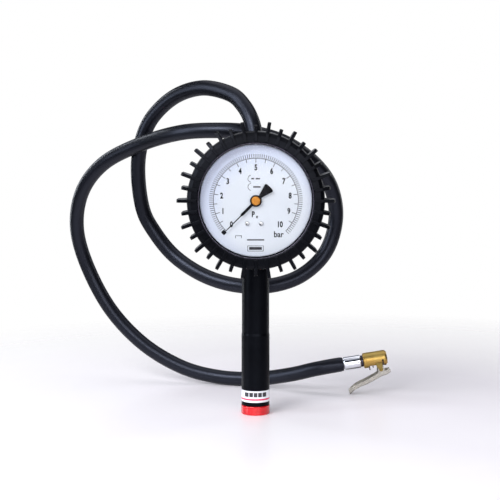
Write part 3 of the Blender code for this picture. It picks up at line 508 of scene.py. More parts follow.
def add_group(tree, name, vector, **values):
    """Places a shared group in a material, with its own values."""
    node = tree.nodes.new("ShaderNodeGroup")
    node.node_tree = shared_group(name)
    tree.links.new(vector, node.inputs["Vector"])
    for label, given in values.items():
        feed(tree, node.inputs[label.replace("_", " ")], given)
    return node


def new_finish(name, **constants):
    """A material whose shader's own sockets hold the constants; gives its tree and shader."""
    made = bpy.data.materials.new(name)
    made.use_nodes = True
    shader = made.node_tree.nodes["Principled BSDF"]
    for label, value in constants.items():
        shader.inputs[label.replace("_", " ")].default_value = value
    return made, made.node_tree, shader


def where(tree, kind="Object"):
    """A kind of texture coordinates."""
    return tree.nodes.new("ShaderNodeTexCoord").outputs[kind]


def bump(tree, shader, height, strength, distance):
    """Gives the shader a fine relief from a height."""
    node = tree.nodes.new("ShaderNodeBump")
    node.inputs["Strength"].default_value = strength
    node.inputs["Distance"].default_value = distance
    tree.links.new(height, node.inputs["Height"])
    tree.links.new(node.outputs["Normal"], shader.inputs["Normal"])


def moulded(name, tone, second, smooth, rough, grain, depth, tone_scale=30.0, dust_and_top_light=0.0, **constants):
    """Rubber, plastic or cast skin: cloudy tone, pitted grain and a little dusting with painted top
    light, lighter where the surface looks up.
    """
    made = bpy.data.materials.get(name)
    if made:
        return made
    made, tree, shader = new_finish(name, **constants)
    vector = where(tree)
    tone_node = add_group(tree, "Uneven tone", vector, Tone=tone, Second_tone=second,
                          Scale=tone_scale, Amount=0.8)
    colour = tone_node.outputs["Colour"]
    if dust_and_top_light:
        mask = add_group(tree, "Dust and top light", vector, Amount=dust_and_top_light).outputs["Mask"]
        # Painted top light with dusting: upward faces are mixed towards a pale grey.
        colour = blended(tree, mask, colour, (0.30, 0.31, 0.34))
    tree.links.new(colour, shader.inputs["Base Color"])
    grain_node = add_group(tree, "Moulded grain", vector, Scale=grain, Smooth=smooth, Rough=rough)
    tree.links.new(grain_node.outputs["Roughness"], shader.inputs["Roughness"])
    bump(tree, shader, grain_node.outputs["Height"], 0.5, depth)
    return made


def machined(name, tone, second, smooth, rough, stretch, scale=500.0, depth=0.00002,
             tone_scale=60.0, amount=0.5, **constants):
    """Turned, drawn or brushed metal: fine lines one way and a slightly uneven tone."""
    made = bpy.data.materials.get(name)
    if made:
        return made
    made, tree, shader = new_finish(name, Metallic=1.0, **constants)
    vector = where(tree)
    tone_node = add_group(tree, "Uneven tone", vector, Tone=tone, Second_tone=second,
                          Scale=tone_scale, Amount=amount)
    tree.links.new(tone_node.outputs["Colour"], shader.inputs["Base Color"])
    lines = add_group(tree, "Drawn lines", vector, Stretch=stretch, Scale=scale,
                      Smooth=smooth, Rough=rough)
    tree.links.new(lines.outputs["Roughness"], shader.inputs["Roughness"])
    bump(tree, shader, lines.outputs["Height"], 0.4, depth)
    return made


def colours():
    """The colours that the panel holds."""
    return bpy.context.scene.inflator_colours


def sizes():
    """The sizes that the panel holds, in metres."""
    return bpy.context.scene.inflator_sizes


def black_rubber():
    c = colours()
    return moulded("Black rubber", c.rubber, c.rubber_bloom, 0.28, 0.42, 1500.0, 0.00004, 28.0, 0.0,
                   Specular_IOR_Level=0.07, Specular_Tint=(0.72, 0.80, 1.0, 1.0))


def boot_rubber():
    c = colours()
    # The 0.03 lightens the boot's upward faces, most on the rib tops: painted top light with dusting.
    return moulded("Boot rubber", c.rubber, c.rubber_bloom, 0.28, 0.40, 1300.0, 0.00005, 34.0, 0.03,
                   Specular_IOR_Level=0.09, Specular_Tint=(0.80, 0.84, 1.0, 1.0))


def seal_rubber():
    return moulded("Seal rubber", (0.012, 0.012, 0.013), (0.02, 0.02, 0.022), 0.5, 0.75, 2500.0, 0.00003)


def brass():
    c = colours()
    return machined("Turned brass", c.brass, c.brass_deep, 0.34, 0.50, (0.05, 1.0, 1.0),
                    900.0, 0.00001, 70.0, 0.45)


def olive_brass():
    return machined("Olive brass", (0.25, 0.18, 0.055), (0.16, 0.12, 0.04), 0.32, 0.5,
                    (1.0, 1.0, 0.1), 800.0, 0.00001)


def plain_brass():
    return machined("Stock brass", (0.72, 0.52, 0.18), (0.55, 0.34, 0.10), 0.22, 0.4,
                    (1.0, 1.0, 1.0), 1200.0, 0.00001)


def sheet_brass():
    return machined("Stamped sheet brass", (0.70, 0.55, 0.25), (0.58, 0.42, 0.16), 0.28, 0.45,
                    (0.08, 1.0, 1.0), 900.0, 0.00001)


def chrome():
    c = colours()
    return machined("Chrome plate", c.chrome, (0.62, 0.63, 0.74), 0.05, 0.13, (0.1, 1.0, 1.0),
                    700.0, 0.000004, 90.0, 0.35)


def bright_steel():
    return machined("Bright steel", (0.72, 0.73, 0.75), (0.55, 0.56, 0.58), 0.15, 0.3,
                    (1.0, 1.0, 0.06), 900.0, 0.000008)


def dark_steel():
    return machined("Dark steel", (0.06, 0.055, 0.075), (0.03, 0.028, 0.035), 0.2, 0.38,
                    (1.0, 0.1, 1.0), 900.0, 0.000008)


# --- stage and camera ----------------------------------------------------------------
def soft_light(name, place, spread_over, power, colour, aim=LIT_POINT):
    """A rectangular soft light at a place, turned towards a point."""
    data = bpy.data.lights.new(name, "AREA")
    data.shape = "RECTANGLE"
    data.size, data.size_y = spread_over
    data.energy = power
    data.color = colour
    lamp = linked(name, data)
    lamp.location = place
    way = Vector(aim) - Vector(place)
    lamp.rotation_mode = "QUATERNION"
    lamp.rotation_quaternion = way.to_track_quat("-Z", "Y")


class INFLATOR_OT_stage(bpy.types.Operator):
    """Floor, soft lights, pale surroundings and the camera"""
    bl_idname = "inflator.stage"
    bl_label = "Stage and camera"

    def execute(self, context):
        self.floor()
        self.surroundings(context.scene)
        self.lights()
        self.camera(context.scene)
        return {"FINISHED"}

    def floor(self):
        """A disc: (r cos a, r sin a, 0)."""
        rings = np.array([(0.0, 0.0), (0.4, 0.0), (0.9, 0.0), (2.4, 0.0)]) / MM
        points, faces = turned(rings, on_handle, 96, closed=False)
        mesh = bpy.data.meshes.new("floor")
        mesh.from_pydata(points.tolist(), [], faces[:, ::-1].tolist())
        mesh.validate()
        made, tree, shader = new_finish("Pale floor", Roughness=0.35)
        vector = where(tree)
        tone = add_group(tree, "Uneven tone", vector, Tone=(0.93, 0.88, 0.91),
                         Second_tone=(0.96, 0.92, 0.93), Scale=3.0, Amount=1.0)
        tree.links.new(tone.outputs["Colour"], shader.inputs["Base Color"])
        shift = tree.nodes.new("ShaderNodeMapping")
        shift.inputs["Location"].default_value = (-0.08, -0.02, 0.0)
        tree.links.new(vector, shift.inputs["Vector"])
        length = tree.nodes.new("ShaderNodeVectorMath")
        length.operation = "LENGTH"
        tree.links.new(shift.outputs["Vector"], length.inputs[0])
        tree.links.new(spread(tree, length.outputs["Value"], 0.20, 0.62, 1.0, 0.0),
                       shader.inputs["Alpha"])
        mesh.materials.append(made)
        floor = linked("floor", mesh)

    def surroundings(self, scene):
        """White to the camera; elsewhere a dark room with a pale ceiling and a pale wall behind."""
        world = bpy.data.worlds.new("pale room")
        scene.world = world
        world.use_nodes = True
        tree = world.node_tree
        back = tree.nodes["Background"]
        seen = tree.nodes.new("ShaderNodeLightPath").outputs["Is Camera Ray"]
        parts = tree.nodes.new("ShaderNodeSeparateXYZ")
        tree.links.new(where(tree, "Generated"), parts.inputs["Vector"])
        ceiling = spread(tree, parts.outputs["Z"], 0.72, 0.88, 0.0, 1.0)
        wall = spread(tree, parts.outputs["Y"], 0.80, 0.95, 0.0, 1.0)
        room = blended(tree, ceiling, (0.030, 0.032, 0.042), (0.35, 0.37, 0.42))
        room = blended(tree, wall, room, (0.70, 0.72, 0.78))
        tree.links.new(blended(tree, seen, room, (1.0, 1.0, 1.0)), back.inputs["Color"])

    def lights(self):
        for light in LIGHTS:
            soft_light(*light)

    def camera(self, scene):
        data = bpy.data.cameras.new("view")
        data.lens = CAMERA_LENS
        data.sensor_width = 36.0
        data.clip_start = 0.05
        camera = linked("view", data)
        camera.location = CAMERA_PLACE
        camera.rotation_euler = (math.radians(CAMERA_TILT_DEG), 0.0, 0.0)
        scene.camera = camera
        scene.view_settings.view_transform = "Standard"


# --- handle ----------------------------------------------------------------------------
class INFLATOR_OT_grip(bpy.types.Operator):
    """Rubber sleeve, label band and red end ring with its inlet bush"""
    bl_idname = "inflator.grip"
    bl_label = "Grip, label and end ring"

    def execute(self, context):
        sleeve = eased([(9.9, 138.0), (11.8, 138.0), (11.8, 71.0), (12.15, 69.0), (12.15, 21.5),
                        (11.6, 21.5), (11.6, 11.2), (12.15, 11.2), (12.15, 8.0), (9.9, 8.0)],
                       [0.4, 0.9, 1.2, 1.2, 0.25, 0.1, 0.1, 0.25, 0.4, 0.3], 5)
        sleeve_finish = black_rubber()
        piece = add_piece("grip_sleeve_rubber", turned(sleeve, on_handle, 96), sleeve_finish,
                          stands_for=["grip_sleeve"])
        self.cut_opening(piece)
        band = eased([(11.75, 21.35), (12.25, 21.35), (12.25, 11.35), (11.75, 11.35)], 0.08, 2)
        add_piece("label_band_print", turned(band, on_handle, 128), self.label_finish(),
                  stands_for=["label_band"])
        ring = eased([(8.6, 7.7), (12.4, 7.7), (12.4, 0.0), (8.6, 0.0)], [0.3, 0.8, 0.8, 0.3], 5)
        c = colours()
        red = moulded("Red anodised", c.ring, tuple(v * 0.6 for v in c.ring), 0.16, 0.3, 2200.0,
                      0.00001, 90.0, Metallic=0.25, Coat_Weight=0.6, Coat_Roughness=0.12)
        add_piece("end_ring_red", turned(ring, on_handle, 96), red,
                  stands_for=["end_ring"])
        bush = eased([(3.0, 18.4), (7.2, 18.4), (7.2, 8.0), (8.3, 8.0), (8.3, 0.5), (6.6, 0.5),
                      (5.9, 1.2), (5.9, 12.4), (3.0, 14.0)], 0.2, 3)
        add_piece("inlet_bush_brass", turned(bush, on_handle, 64), plain_brass(),
                  stands_for=["inlet_bush"])
        return {"FINISHED"}

    def cut_opening(self, piece):
        """Opens the sleeve round the valve, as its moulded cut-out does."""
        outline = eased([(-8.0, 119.0), (8.0, 119.0), (8.0, 145.0), (-8.0, 145.0)], 2.0, 6)
        shell = slab(outline, 4.0, 22.0, 0.1,
                     lambda p: placed(p, (0, HANDLE_Y, 0), (1, 0, 0), (0, 0, 1), (0, 1, 0)))
        cut_away(piece, shell)

    def label_finish(self):
        """White film with a row of plain dark squares over a thin red line."""
        c = colours()
        made, tree, shader = new_finish("Label film", Coat_Weight=0.3, Coat_Roughness=0.2)
        vector = where(tree)
        tone = add_group(tree, "Uneven tone", vector, Tone=c.label,
                         Second_tone=tuple(v * 0.9 for v in c.label), Scale=140.0, Amount=0.6)
        parts = tree.nodes.new("ShaderNodeSeparateXYZ")
        tree.links.new(vector, parts.inputs["Vector"])
        across, height = parts.outputs["X"], parts.outputs["Z"]
        front = sums(tree, "LESS_THAN", parts.outputs["Y"], HANDLE_Y * MM)
        pitch, square_width, row_reach = 3.8 * MM, 1.6 * MM, 9.3 * MM
        folded = sums(tree, "PINGPONG", across, pitch / 2)
        square = sums(tree, "LESS_THAN", folded, square_width)
        inside = sums(tree, "LESS_THAN", sums(tree, "ABSOLUTE", across, 0.0), row_reach)
        row = stripe(tree, height, 18.1, 1.9)
        dark = sums(tree, "MULTIPLY", sums(tree, "MULTIPLY", square, inside),
                    sums(tree, "MULTIPLY", row, front))
        line = stripe(tree, height, 13.9, 0.7)
        colour = blended(tree, dark, tone.outputs["Colour"], (0.02, 0.02, 0.025))
        colour = blended(tree, sums(tree, "MULTIPLY", line, front), colour, (0.70, 0.02, 0.10))
        tree.links.new(colour, shader.inputs["Base Color"])
        grain = add_group(tree, "Moulded grain", vector, Scale=2600.0, Smooth=0.25, Rough=0.38)
        tree.links.new(grain.outputs["Roughness"], shader.inputs["Roughness"])
        bump(tree, shader, grain.outputs["Height"], 0.2, 0.00001)
        return made


def cut_away(piece, shell):
    """Cuts a shell out of a piece, and leaves the result in the piece's mesh."""
    cutter = linked("cutter", welded("cutter", shell))
    piece.modifiers.remove(piece.modifiers["even shading"])
    cut = piece.modifiers.new("cut", "BOOLEAN")
    cut.operation = "DIFFERENCE"
    cut.solver = "EXACT"
    cut.object = cutter
    bpy.context.view_layer.update()
    evaluated = piece.evaluated_get(bpy.context.evaluated_depsgraph_get())
    done = bpy.data.meshes.new_from_object(evaluated)
    piece.modifiers.remove(cut)
    old = piece.data
    piece.data = done
    done.name = piece.name
    bpy.data.meshes.remove(old)
    bpy.data.objects.remove(cutter, do_unlink=True)
    smooth(piece, 30.0)


class INFLATOR_OT_tube(bpy.types.Operator):
    """Cast tube with its bosses and ears, the hose nipple and the ferrule"""
    bl_idname = "inflator.tube"
    bl_label = "Tube and hose fitting"

    def execute(self, context):
        wall = eased([(6.5, 205.0), (9.6, 205.0), (9.6, 8.3), (6.5, 8.3)], [0.3, 0.9, 0.5, 0.3], 5)
        shells = [turned(wall, on_handle, 96)]
        boss = eased([(4.6, 13.5), (7.5, 13.5), (8.0, 7.0), (4.6, 7.0)], [0.2, 0.8, 0.5, 0.1], 5)
        shells.append(turned(boss, behind(VALVE_Z), 64))
        boss = eased([(3.2, 13.0), (5.5, 13.0), (6.0, 7.0), (3.2, 7.0)], [0.2, 0.7, 0.5, 0.1], 5)
        shells.append(turned(boss, behind(BLEED_Z), 64))
        boss = eased([(5.3, 13.5), (8.5, 13.5), (8.9, 6.0), (5.3, 6.0)], [0.2, 0.5, 0.5, 0.1], 5)
        shells.append(turned(boss, ahead(GAUGE_Z), 64))
        back = TRIGGER_PIVOT[1] - HANDLE_Y
        ear = np.concatenate([[(5.5, 6.5 - back)], arc(4.2, 10, 170, 14), [(-5.5, 6.5 - back)]])
        for side in (-1, 1):
            low, high = sorted((side * 6.6, side * 9.0))
            shells.append(slab(eased(ear, 0.4, 2), low, high, 0.4, on_trigger))
        cast = moulded("Cast metal", (0.30, 0.31, 0.33), (0.42, 0.43, 0.45), 0.38, 0.6, 1100.0,
                       0.00012, 50.0, Metallic=0.85)
        add_piece("body_tube_cast", together(*shells), cast,
                  stands_for=["body_tube"])
        barbs = eased([(0, 222.0), (3.4, 222.0), (4.2, 219.5), (3.6, 219.5), (4.2, 216.5),
                       (3.6, 216.5), (3.6, 208.0), (4.9, 208.0), (4.9, 197.6), (0, 197.6)],
                      0.15, 2, closed=False)
        hexagon = slab(eased(arc(9.6, 0, 300, 6), 0.4, 3), 205.3, 210.6, 0.5, on_handle)
        add_piece("hose_nipple_brass", together(turned(barbs, on_handle, 48, False), hexagon),
                  plain_brass(), stands_for=["hose_nipple"])
        ferrule = eased([(6.9, 223.1), (7.6, 223.1), (8.3, 222.2), (8.3, 219.4), (7.8, 218.8),
                         (7.8, 217.4), (8.3, 216.8), (8.3, 212.0), (7.6, 210.9), (4.6, 210.9)],
                        0.35, 4)
        add_piece("hose_ferrule_chrome", turned(ferrule, on_handle, 96), chrome(),
                  stands_for=["hose_ferrule"])
        return {"FINISHED"}


class INFLATOR_OT_controls(bpy.types.Operator):
    """Squeeze lever, its pin, the valve's gland and push pin, and the deflating button"""
    bl_idname = "inflator.controls"
    bl_label = "Trigger and buttons"

    def execute(self, context):
        self.lever()
        steel = bright_steel()
        ends = eased([(0, 9.4), (1.4, 9.4), (1.4, -9.4), (0, -9.4)], 0.35, 3, closed=False)
        add_piece("trigger_pin_steel", turned(ends, on_trigger, 32, False), steel,
                  stands_for=["trigger_pin"])
        gland = slab(eased(arc(6.2, 0, 300, 6), 0.25, 3), 13.8, 15.0, 0.25, behind(VALVE_Z))
        neck = turned([(2.0, 14.0), (4.3, 14.0), (4.3, 8.5), (2.0, 8.5)], behind(VALVE_Z), 48)
        add_piece("gland_nut_brass", together(gland, neck), plain_brass(),
                  stands_for=["gland_nut"])
        pin = eased([(0, 20.3), (2.2, 20.3), (3.0, 19.7), (3.0, 18.3), (1.7, 18.3), (1.7, 1.5),
                     (0, 1.5)], 0.3, 4, closed=False)
        add_piece("push_pin_steel", turned(pin, behind(VALVE_Z), 48, False), steel, "push_pin",
                  ["push_pin"])
        button = eased([(0, 19.6), (2.4, 19.4), (3.4, 18.6), (3.4, 16.6), (1.3, 16.6), (1.3, 7.6),
                        (2.5, 7.6), (2.5, 6.0), (0, 6.0)], 0.5, 5, closed=False)
        red = moulded("Red plastic", (0.62, 0.012, 0.02), (0.5, 0.01, 0.016), 0.22, 0.34, 1800.0,
                      0.00002, 80.0, Coat_Weight=0.3)
        add_piece("bleed_button_red", turned(button, behind(BLEED_Z), 48, False), red,
                  "bleed_button", ["bleed_button"])
        bush = eased([(1.7, 12.8), (2.9, 12.8), (2.9, 7.9), (1.7, 7.9)], 0.15, 3)
        add_piece("bleed_bush_brass", turned(bush, behind(BLEED_Z), 40), plain_brass(),
                  stands_for=["bleed_bush"])
        return {"FINISHED"}

    def lever(self):
        """The lever's outline is a smooth curve down its back and another up its inside."""
        outer = curve_through([(-1.5, 3.2), (2.0, 4.4), (20.0, 8.6), (52.0, 12.6), (76.0, 14.3),
                               (84.0, 14.5)], 48)
        inner = curve_through([(84.6, 12.6), (76.0, 11.9), (52.0, 10.3), (22.0, 6.2), (14.0, 4.6),
                               (6.0, 0.5), (3.4, -1.2)], 48)
        knuckle = arc(3.6, -45, -232, 20)
        outline = np.concatenate([outer, [(85.2, 13.8)], inner, knuckle])
        shells = [slab(outline, -6.0, 6.0, 0.8, on_trigger, 4)]
        # Eleven low grip bars across the lever's back.
        step = np.linspace(30.0, 78.0, 11)
        height = np.interp(step, [20.0, 52.0, 76.0, 84.0], [8.6, 12.6, 14.3, 14.5])
        bar = eased([(-0.9, -0.6), (-0.45, 0.32), (0.45, 0.32), (0.9, -0.6)], 0.2, 2)
        for x, y in zip(step, height):
            shells.append(slab(bar + (x, y), -4.6, 4.6, 0.3, on_trigger, 2))
        plastic = moulded("Black plastic", (0.010, 0.010, 0.012), (0.02, 0.02, 0.023), 0.30, 0.46,
                          1400.0, 0.00005, 40.0)
        add_piece("trigger_lever_plastic", together(*shells), plastic, "trigger",
                  ["trigger_lever"])


# --- gauge -----------------------------------------------------------------------------
class INFLATOR_OT_boot(bpy.types.Operator):
    """Ribbed rubber boot round the gauge"""
    bl_idname = "inflator.boot"
    bl_label = "Rubber boot"

    def execute(self, context):
        ring = eased([(47.1, 45.0), (47.7, 45.4), (52.8, 44.6), (55.6, 42.8), (56.3, 40.2),
                      (57.2, 14.0), (53.5, 2.5), (40.0, 2.5), (40.0, 4.6), (47.8, 4.6), (49.3, 6.1),
                      (49.3, 35.7), (50.9, 35.7), (50.9, 44.7), (47.1, 44.7)],
                     [0.1, 0.3, 0.8, 0.8, 1.0, 2.0, 1.5, 0.8, 0.5, 0.5, 0.5, 0.3, 0.3, 0.3, 0.1], 5)
        shells = [turned(ring, on_gauge, 216)]
        shells += self.ribs()
        add_piece("boot_rubber", together(*shells), boot_rubber(),
                  stands_for=["boot"])
        return {"FINISHED"}

    def ribs(self):
        """Thirty-six slabs: outline (r, f) turned to angle a is (r sin a, r cos a, f)."""
        s = sizes()
        half = s.rib_width / MM / 2
        made = []
        for i in range(RIB_COUNT):
            tip = (s.rib_short if i % 2 == 0 else s.rib_long) / MM
            outline = eased([(47.2, 44.9), (48.2, 46.0), (54.7, 45.5), (tip - 1.2, 43.0),
                             (tip, 40.6), (tip, 17.5), (tip - 3.0, 14.0), (53.7, 8.6), (53.7, 42.0)],
                            [0.2, 0.5, 1.6, 1.2, 1.4, 1.4, 1.4, 0.5, 0.5], 4)
            angle = math.radians(i * 360.0 / RIB_COUNT)
            made.append(slab(outline, -half, half, 0.35, self.turned_to(angle), 3))
        return made

    def turned_to(self, angle):
        """A frame whose local x runs outwards at an angle from the top, y forwards."""
        sine, cosine = math.sin(angle), math.cos(angle)
        return lambda points: on_gauge(np.stack([
            points[..., 0] * sine + points[..., 2] * cosine,
            points[..., 0] * cosine - points[..., 2] * sine, points[..., 1]], -1))


class INFLATOR_OT_case(bpy.types.Operator):
    """Case, bezel ring, lens, gasket and blow-out plug"""
    bl_idname = "inflator.case"
    bl_label = "Gauge case and lens"

    def execute(self, context):
        case = eased([(47.8, 39.5), (49.0, 39.5), (49.0, 6.7), (47.2, 4.9), (6.6, 4.9), (6.6, 6.1),
                      (46.8, 6.1), (47.8, 7.1)], [0.3, 0.3, 1.0, 1.0, 0.3, 0.3, 0.6, 0.6], 4)
        paint = moulded("Black enamel", (0.016, 0.016, 0.018), (0.03, 0.03, 0.034), 0.25, 0.4,
                        1200.0, 0.00003, 60.0, Metallic=0.3, Coat_Weight=0.3)
        piece = add_piece("gauge_case_black", turned(case, on_gauge, 144), paint,
                          stands_for=["gauge_case"])
        vent = turned([(0, 12.0), (5.0, 12.0), (5.0, 0.0), (0, 0.0)], self.at_vent, 40, False)
        cut_away(piece, vent)
        plug = eased([(0, 7.4), (4.2, 7.4), (4.6, 4.6), (6.4, 4.6), (6.0, 3.4), (0, 3.4)], 0.3, 3,
                     closed=False)
        add_piece("blowout_plug_rubber", turned(plug, self.at_vent, 48, False), seal_rubber(),
                  stands_for=["blowout_plug"])
        bezel = eased([(46.4, 44.4), (49.8, 44.4), (50.6, 43.6), (50.6, 36.0), (49.3, 36.0),
                       (49.3, 43.2), (46.4, 43.2)], [0.35, 0.5, 0.5, 0.3, 0.2, 0.2, 0.3], 4)
        add_piece("bezel_ring_dark", turned(bezel, on_gauge, 180), dark_steel(),
                  stands_for=["bezel_ring"])
        gasket = eased([(46.5, 40.9), (48.8, 40.9), (48.8, 39.9), (46.5, 39.9)], 0.25, 3)
        add_piece("lens_gasket_rubber", turned(gasket, on_gauge, 144), seal_rubber(),
                  stands_for=["lens_gasket"])
        lens = eased([(0, 42.9), (48.8, 42.9), (48.8, 41.2), (0, 41.2)], 0.3, 3, closed=False)
        add_piece("lens_clear", turned(lens, on_gauge, 144, False), self.lens_finish(),
                  stands_for=["lens"])
        return {"FINISHED"}

    def at_vent(self, points):
        """The gauge's frame, moved up to the vent."""
        return on_gauge(np.asarray(points, float) + (0.0, VENT_RISE, 0.0))

    def lens_finish(self):
        """Clear sheet: it shows only by its gloss, more so where it is seen edge on."""
        made, tree, shader = new_finish("Clear lens", Base_Color=(0.02, 0.02, 0.05, 1.0),
                                        Roughness=0.04, IOR=1.49)
        edge = tree.nodes.new("ShaderNodeFresnel")
        edge.inputs["IOR"].default_value = 1.35
        smear = noise(tree, where(tree), 30.0, 2.0, 0.5)
        low = spread(tree, smear, 0.3, 0.7, 0.008, 0.025)
        tree.links.new(sums(tree, "MINIMUM", sums(tree, "ADD", edge.outputs["Fac"], low), 0.6),
                       shader.inputs["Alpha"])
        return made


class INFLATOR_OT_dial(bpy.types.Operator):
    """Dial plate with its printed scale, numerals and fixing screws"""
    bl_idname = "inflator.dial"
    bl_label = "Dial"

    def execute(self, context):
        plate = eased([(2.6, 37.0), (45.7, 37.0), (45.7, 36.2), (2.6, 36.2)], 0.12, 2)
        add_piece("dial_plate_white", turned(plate, on_gauge, 180), self.dial_finish(),
                  stands_for=["dial_plate"])
        ink = moulded("Print ink", (0.006, 0.006, 0.008), (0.01, 0.01, 0.013), 0.4, 0.6, 2500.0,
                      0.000004, Specular_IOR_Level=0.15)
        fine = moulded("Fine print ink", (0.012, 0.012, 0.018), (0.02, 0.02, 0.028), 0.4, 0.6, 2500.0,
                       0.000004)
        add_piece("dial_fine_scale", self.fine_scale(), fine)
        add_piece("dial_main_scale", self.main_scale(), ink)
        add_piece("dial_marks", self.marks(), fine)
        self.numerals(ink)
        steel = bright_steel()
        for side, x in DIAL_SCREWS:
            self.screw(side, x, steel)
        return {"FINISHED"}

    def dial_finish(self):
        """White enamel with a painted shade and reflection: it turns cooler towards the rim and the top.
        """
        c = colours()
        made, tree, shader = new_finish("Dial white", Coat_Weight=0.2, Coat_Roughness=0.25)
        vector = where(tree)
        # The painted shade is measured from a point 6 mm right of and 8 mm below the middle, so the top
        # and the left get most.
        shift = tree.nodes.new("ShaderNodeMapping")
        shift.inputs["Location"].default_value = (-6.0 * MM, 0.0, -(GAUGE_Z - 8.0) * MM)
        tree.links.new(vector, shift.inputs["Vector"])
        flat = tree.nodes.new("ShaderNodeVectorMath")
        flat.operation = "MULTIPLY"
        flat.inputs[1].default_value = (1.0, 0.0, 1.0)
        tree.links.new(shift.outputs["Vector"], flat.inputs[0])
        away = tree.nodes.new("ShaderNodeVectorMath")
        away.operation = "LENGTH"
        tree.links.new(flat.outputs["Vector"], away.inputs[0])
        # Painted shade: none within 32 mm of that point, full at 58 mm.
        rim = spread(tree, away.outputs["Value"], 0.032, 0.058, 0.0, 1.0)
        tone = add_group(tree, "Uneven tone", vector, Tone=c.dial,
                         Second_tone=tuple(v * 0.97 for v in c.dial), Scale=60.0, Amount=0.5)
        shade = blended(tree, rim, tone.outputs["Colour"], c.dial_painted_shade)
        tree.links.new(shade, shader.inputs["Base Color"])
        grain = add_group(tree, "Moulded grain", vector, Scale=2200.0, Smooth=0.32, Rough=0.42)
        tree.links.new(grain.outputs["Roughness"], shader.inputs["Roughness"])
        bump(tree, shader, grain.outputs["Height"], 0.15, 0.000006)
        return made

    def strokes(self, angles, inner, outer, width):
        """Flat bars: corner (x, y) = r (sin a, cos a) + side * w/2 (cos a, -sin a), all at once."""
        a = np.radians(np.asarray(angles, float))[:, None, None]
        inner, outer = np.broadcast_to(inner, len(a)), np.broadcast_to(outer, len(a))
        r = np.stack([inner, outer, outer, inner], -1)[:, None, :]
        side = np.array([-1, -1, 1, 1])[None, None, :] * width / 2
        x = r * np.sin(a) + side * np.cos(a)
        y = r * np.cos(a) - side * np.sin(a)
        height = np.array([DIAL_FACE, PRINT_FACE])[None, :, None]
        x, y, z = np.broadcast_arrays(x, y, height)
        points = on_gauge(np.stack([x, y, z], -1).reshape(-1, 3))
        faces = (np.arange(len(angles))[:, None, None] * 8 + BOX_FACES[None]).reshape(-1, 4)
        return points, faces

    def band(self, inner, outer, start, end, count):
        """A flat curved bar between two radii; angles run clockwise from the top."""
        a = np.radians(np.linspace(start, end, count))[:, None]
        r = np.array([inner, outer, outer, inner])[None, :]
        z = np.broadcast_to(np.array([DIAL_FACE, DIAL_FACE, PRINT_FACE, PRINT_FACE])[None, :], (count, 4))
        points = on_gauge(np.stack([r * np.sin(a), r * np.cos(a), z], -1).reshape(-1, 3))
        return points, capped(count, 4)

    def fine_scale(self):
        """One stroke each tenth of a bar outside the line of the scale, and the rim line."""
        radius = sizes().scale_radius / MM
        angles = ZERO_DEG + SWEEP_DEG * np.arange(101) / 100
        return together(self.strokes(angles, radius, radius + 3.6, 0.46),
                        self.band(45.15, 45.3, 0, 360, 181))

    def main_scale(self):
        """The thin line of the scale, a stroke each half bar inside it, and the zero block."""
        radius = sizes().scale_radius / MM
        angles = ZERO_DEG + SWEEP_DEG * np.arange(1, 20) / 20
        whole = np.arange(1, 20) % 2 == 0
        return together(
            self.strokes(angles, np.where(whole, radius - 3.6, radius - 3.0), radius, 0.48),
            self.band(radius - 0.2, radius + 0.2, ZERO_DEG, ZERO_DEG + SWEEP_DEG, 181),
            self.strokes([ZERO_DEG], radius + 0.6, radius + 3.9, 3.1))

    def marks(self):
        """Small plain marks of a dial: two open rings, short dashes, a bracket and a badge."""
        shells = []
        for y in (18.0, 11.3):
            ring = self.band(2.7, 3.1, 190, 350, 24)
            shells.append((ring[0] + placed((-3.6, y, 0), (0, 0, 0), (1, 0, 0), (0, 0, 1),
                                            (0, -1, 0)), ring[1]))
        for x, y, width in ((-2.6, 18.0, 2.2), (1.6, 18.0, 3.4), (0.8, 11.3, 6.0), (-0.2, -32.0, 14.0)):
            shells.append(self.bar(x, y, width, 1.1))
        for x, y, width, height in ((-14.2, -28.6, 5.2, 0.45), (-16.6, -29.5, 0.45, 2.2),
                                    (-11.8, -29.5, 0.45, 2.2), (-0.3, -36.9, 13.2, 0.4),
                                    (-0.3, -41.2, 13.2, 0.4), (-6.7, -39.0, 0.4, 4.6),
                                    (6.1, -39.0, 0.4, 4.6), (-0.3, -39.0, 10.4, 2.4)):
            shells.append(self.bar(x, y, width, height))
        return together(*shells)

    def bar(self, x, y, width, height):
        """A small upright box of ink, its middle at (x, y)."""
        corners = ((-1, -1), (1, -1), (1, 1), (-1, 1))
        points = np.array([(across * width / 2 + x, up * height / 2 + y, z)
                           for z in (DIAL_FACE, PRINT_FACE) for across, up in corners])
        return on_gauge(points), BOX_FACES

    def lettering(self, text, x, y, height, narrow=0.74, weight=0.058):
        """A word's outline as a thin shell, its middle at (x, y) on the dial."""
        data = bpy.data.curves.new("lettering", "FONT")
        data.body = text
        data.size = height / 0.73
        data.align_x, data.align_y = "CENTER", "CENTER"
        data.extrude = 0.02
        data.offset = weight * height
        data.resolution_u = 4
        guide = linked("lettering", data)
        bpy.context.view_layer.update()
        mesh = bpy.data.meshes.new_from_object(
            guide.evaluated_get(bpy.context.evaluated_depsgraph_get()))
        points = np.empty(len(mesh.vertices) * 3, np.float32)
        mesh.vertices.foreach_get("co", points)
        points = points.reshape(-1, 3).astype(float)
        middle = (points.max(0) + points.min(0)) / 2
        points = (points - (middle[0], middle[1], 0)) * (narrow, 1.0, 1.0) + (x, y, 37.02)
        faces = [list(face.vertices) for face in mesh.polygons]
        bpy.data.objects.remove(guide, do_unlink=True)
        bpy.data.meshes.remove(mesh)
        return on_gauge(points), faces

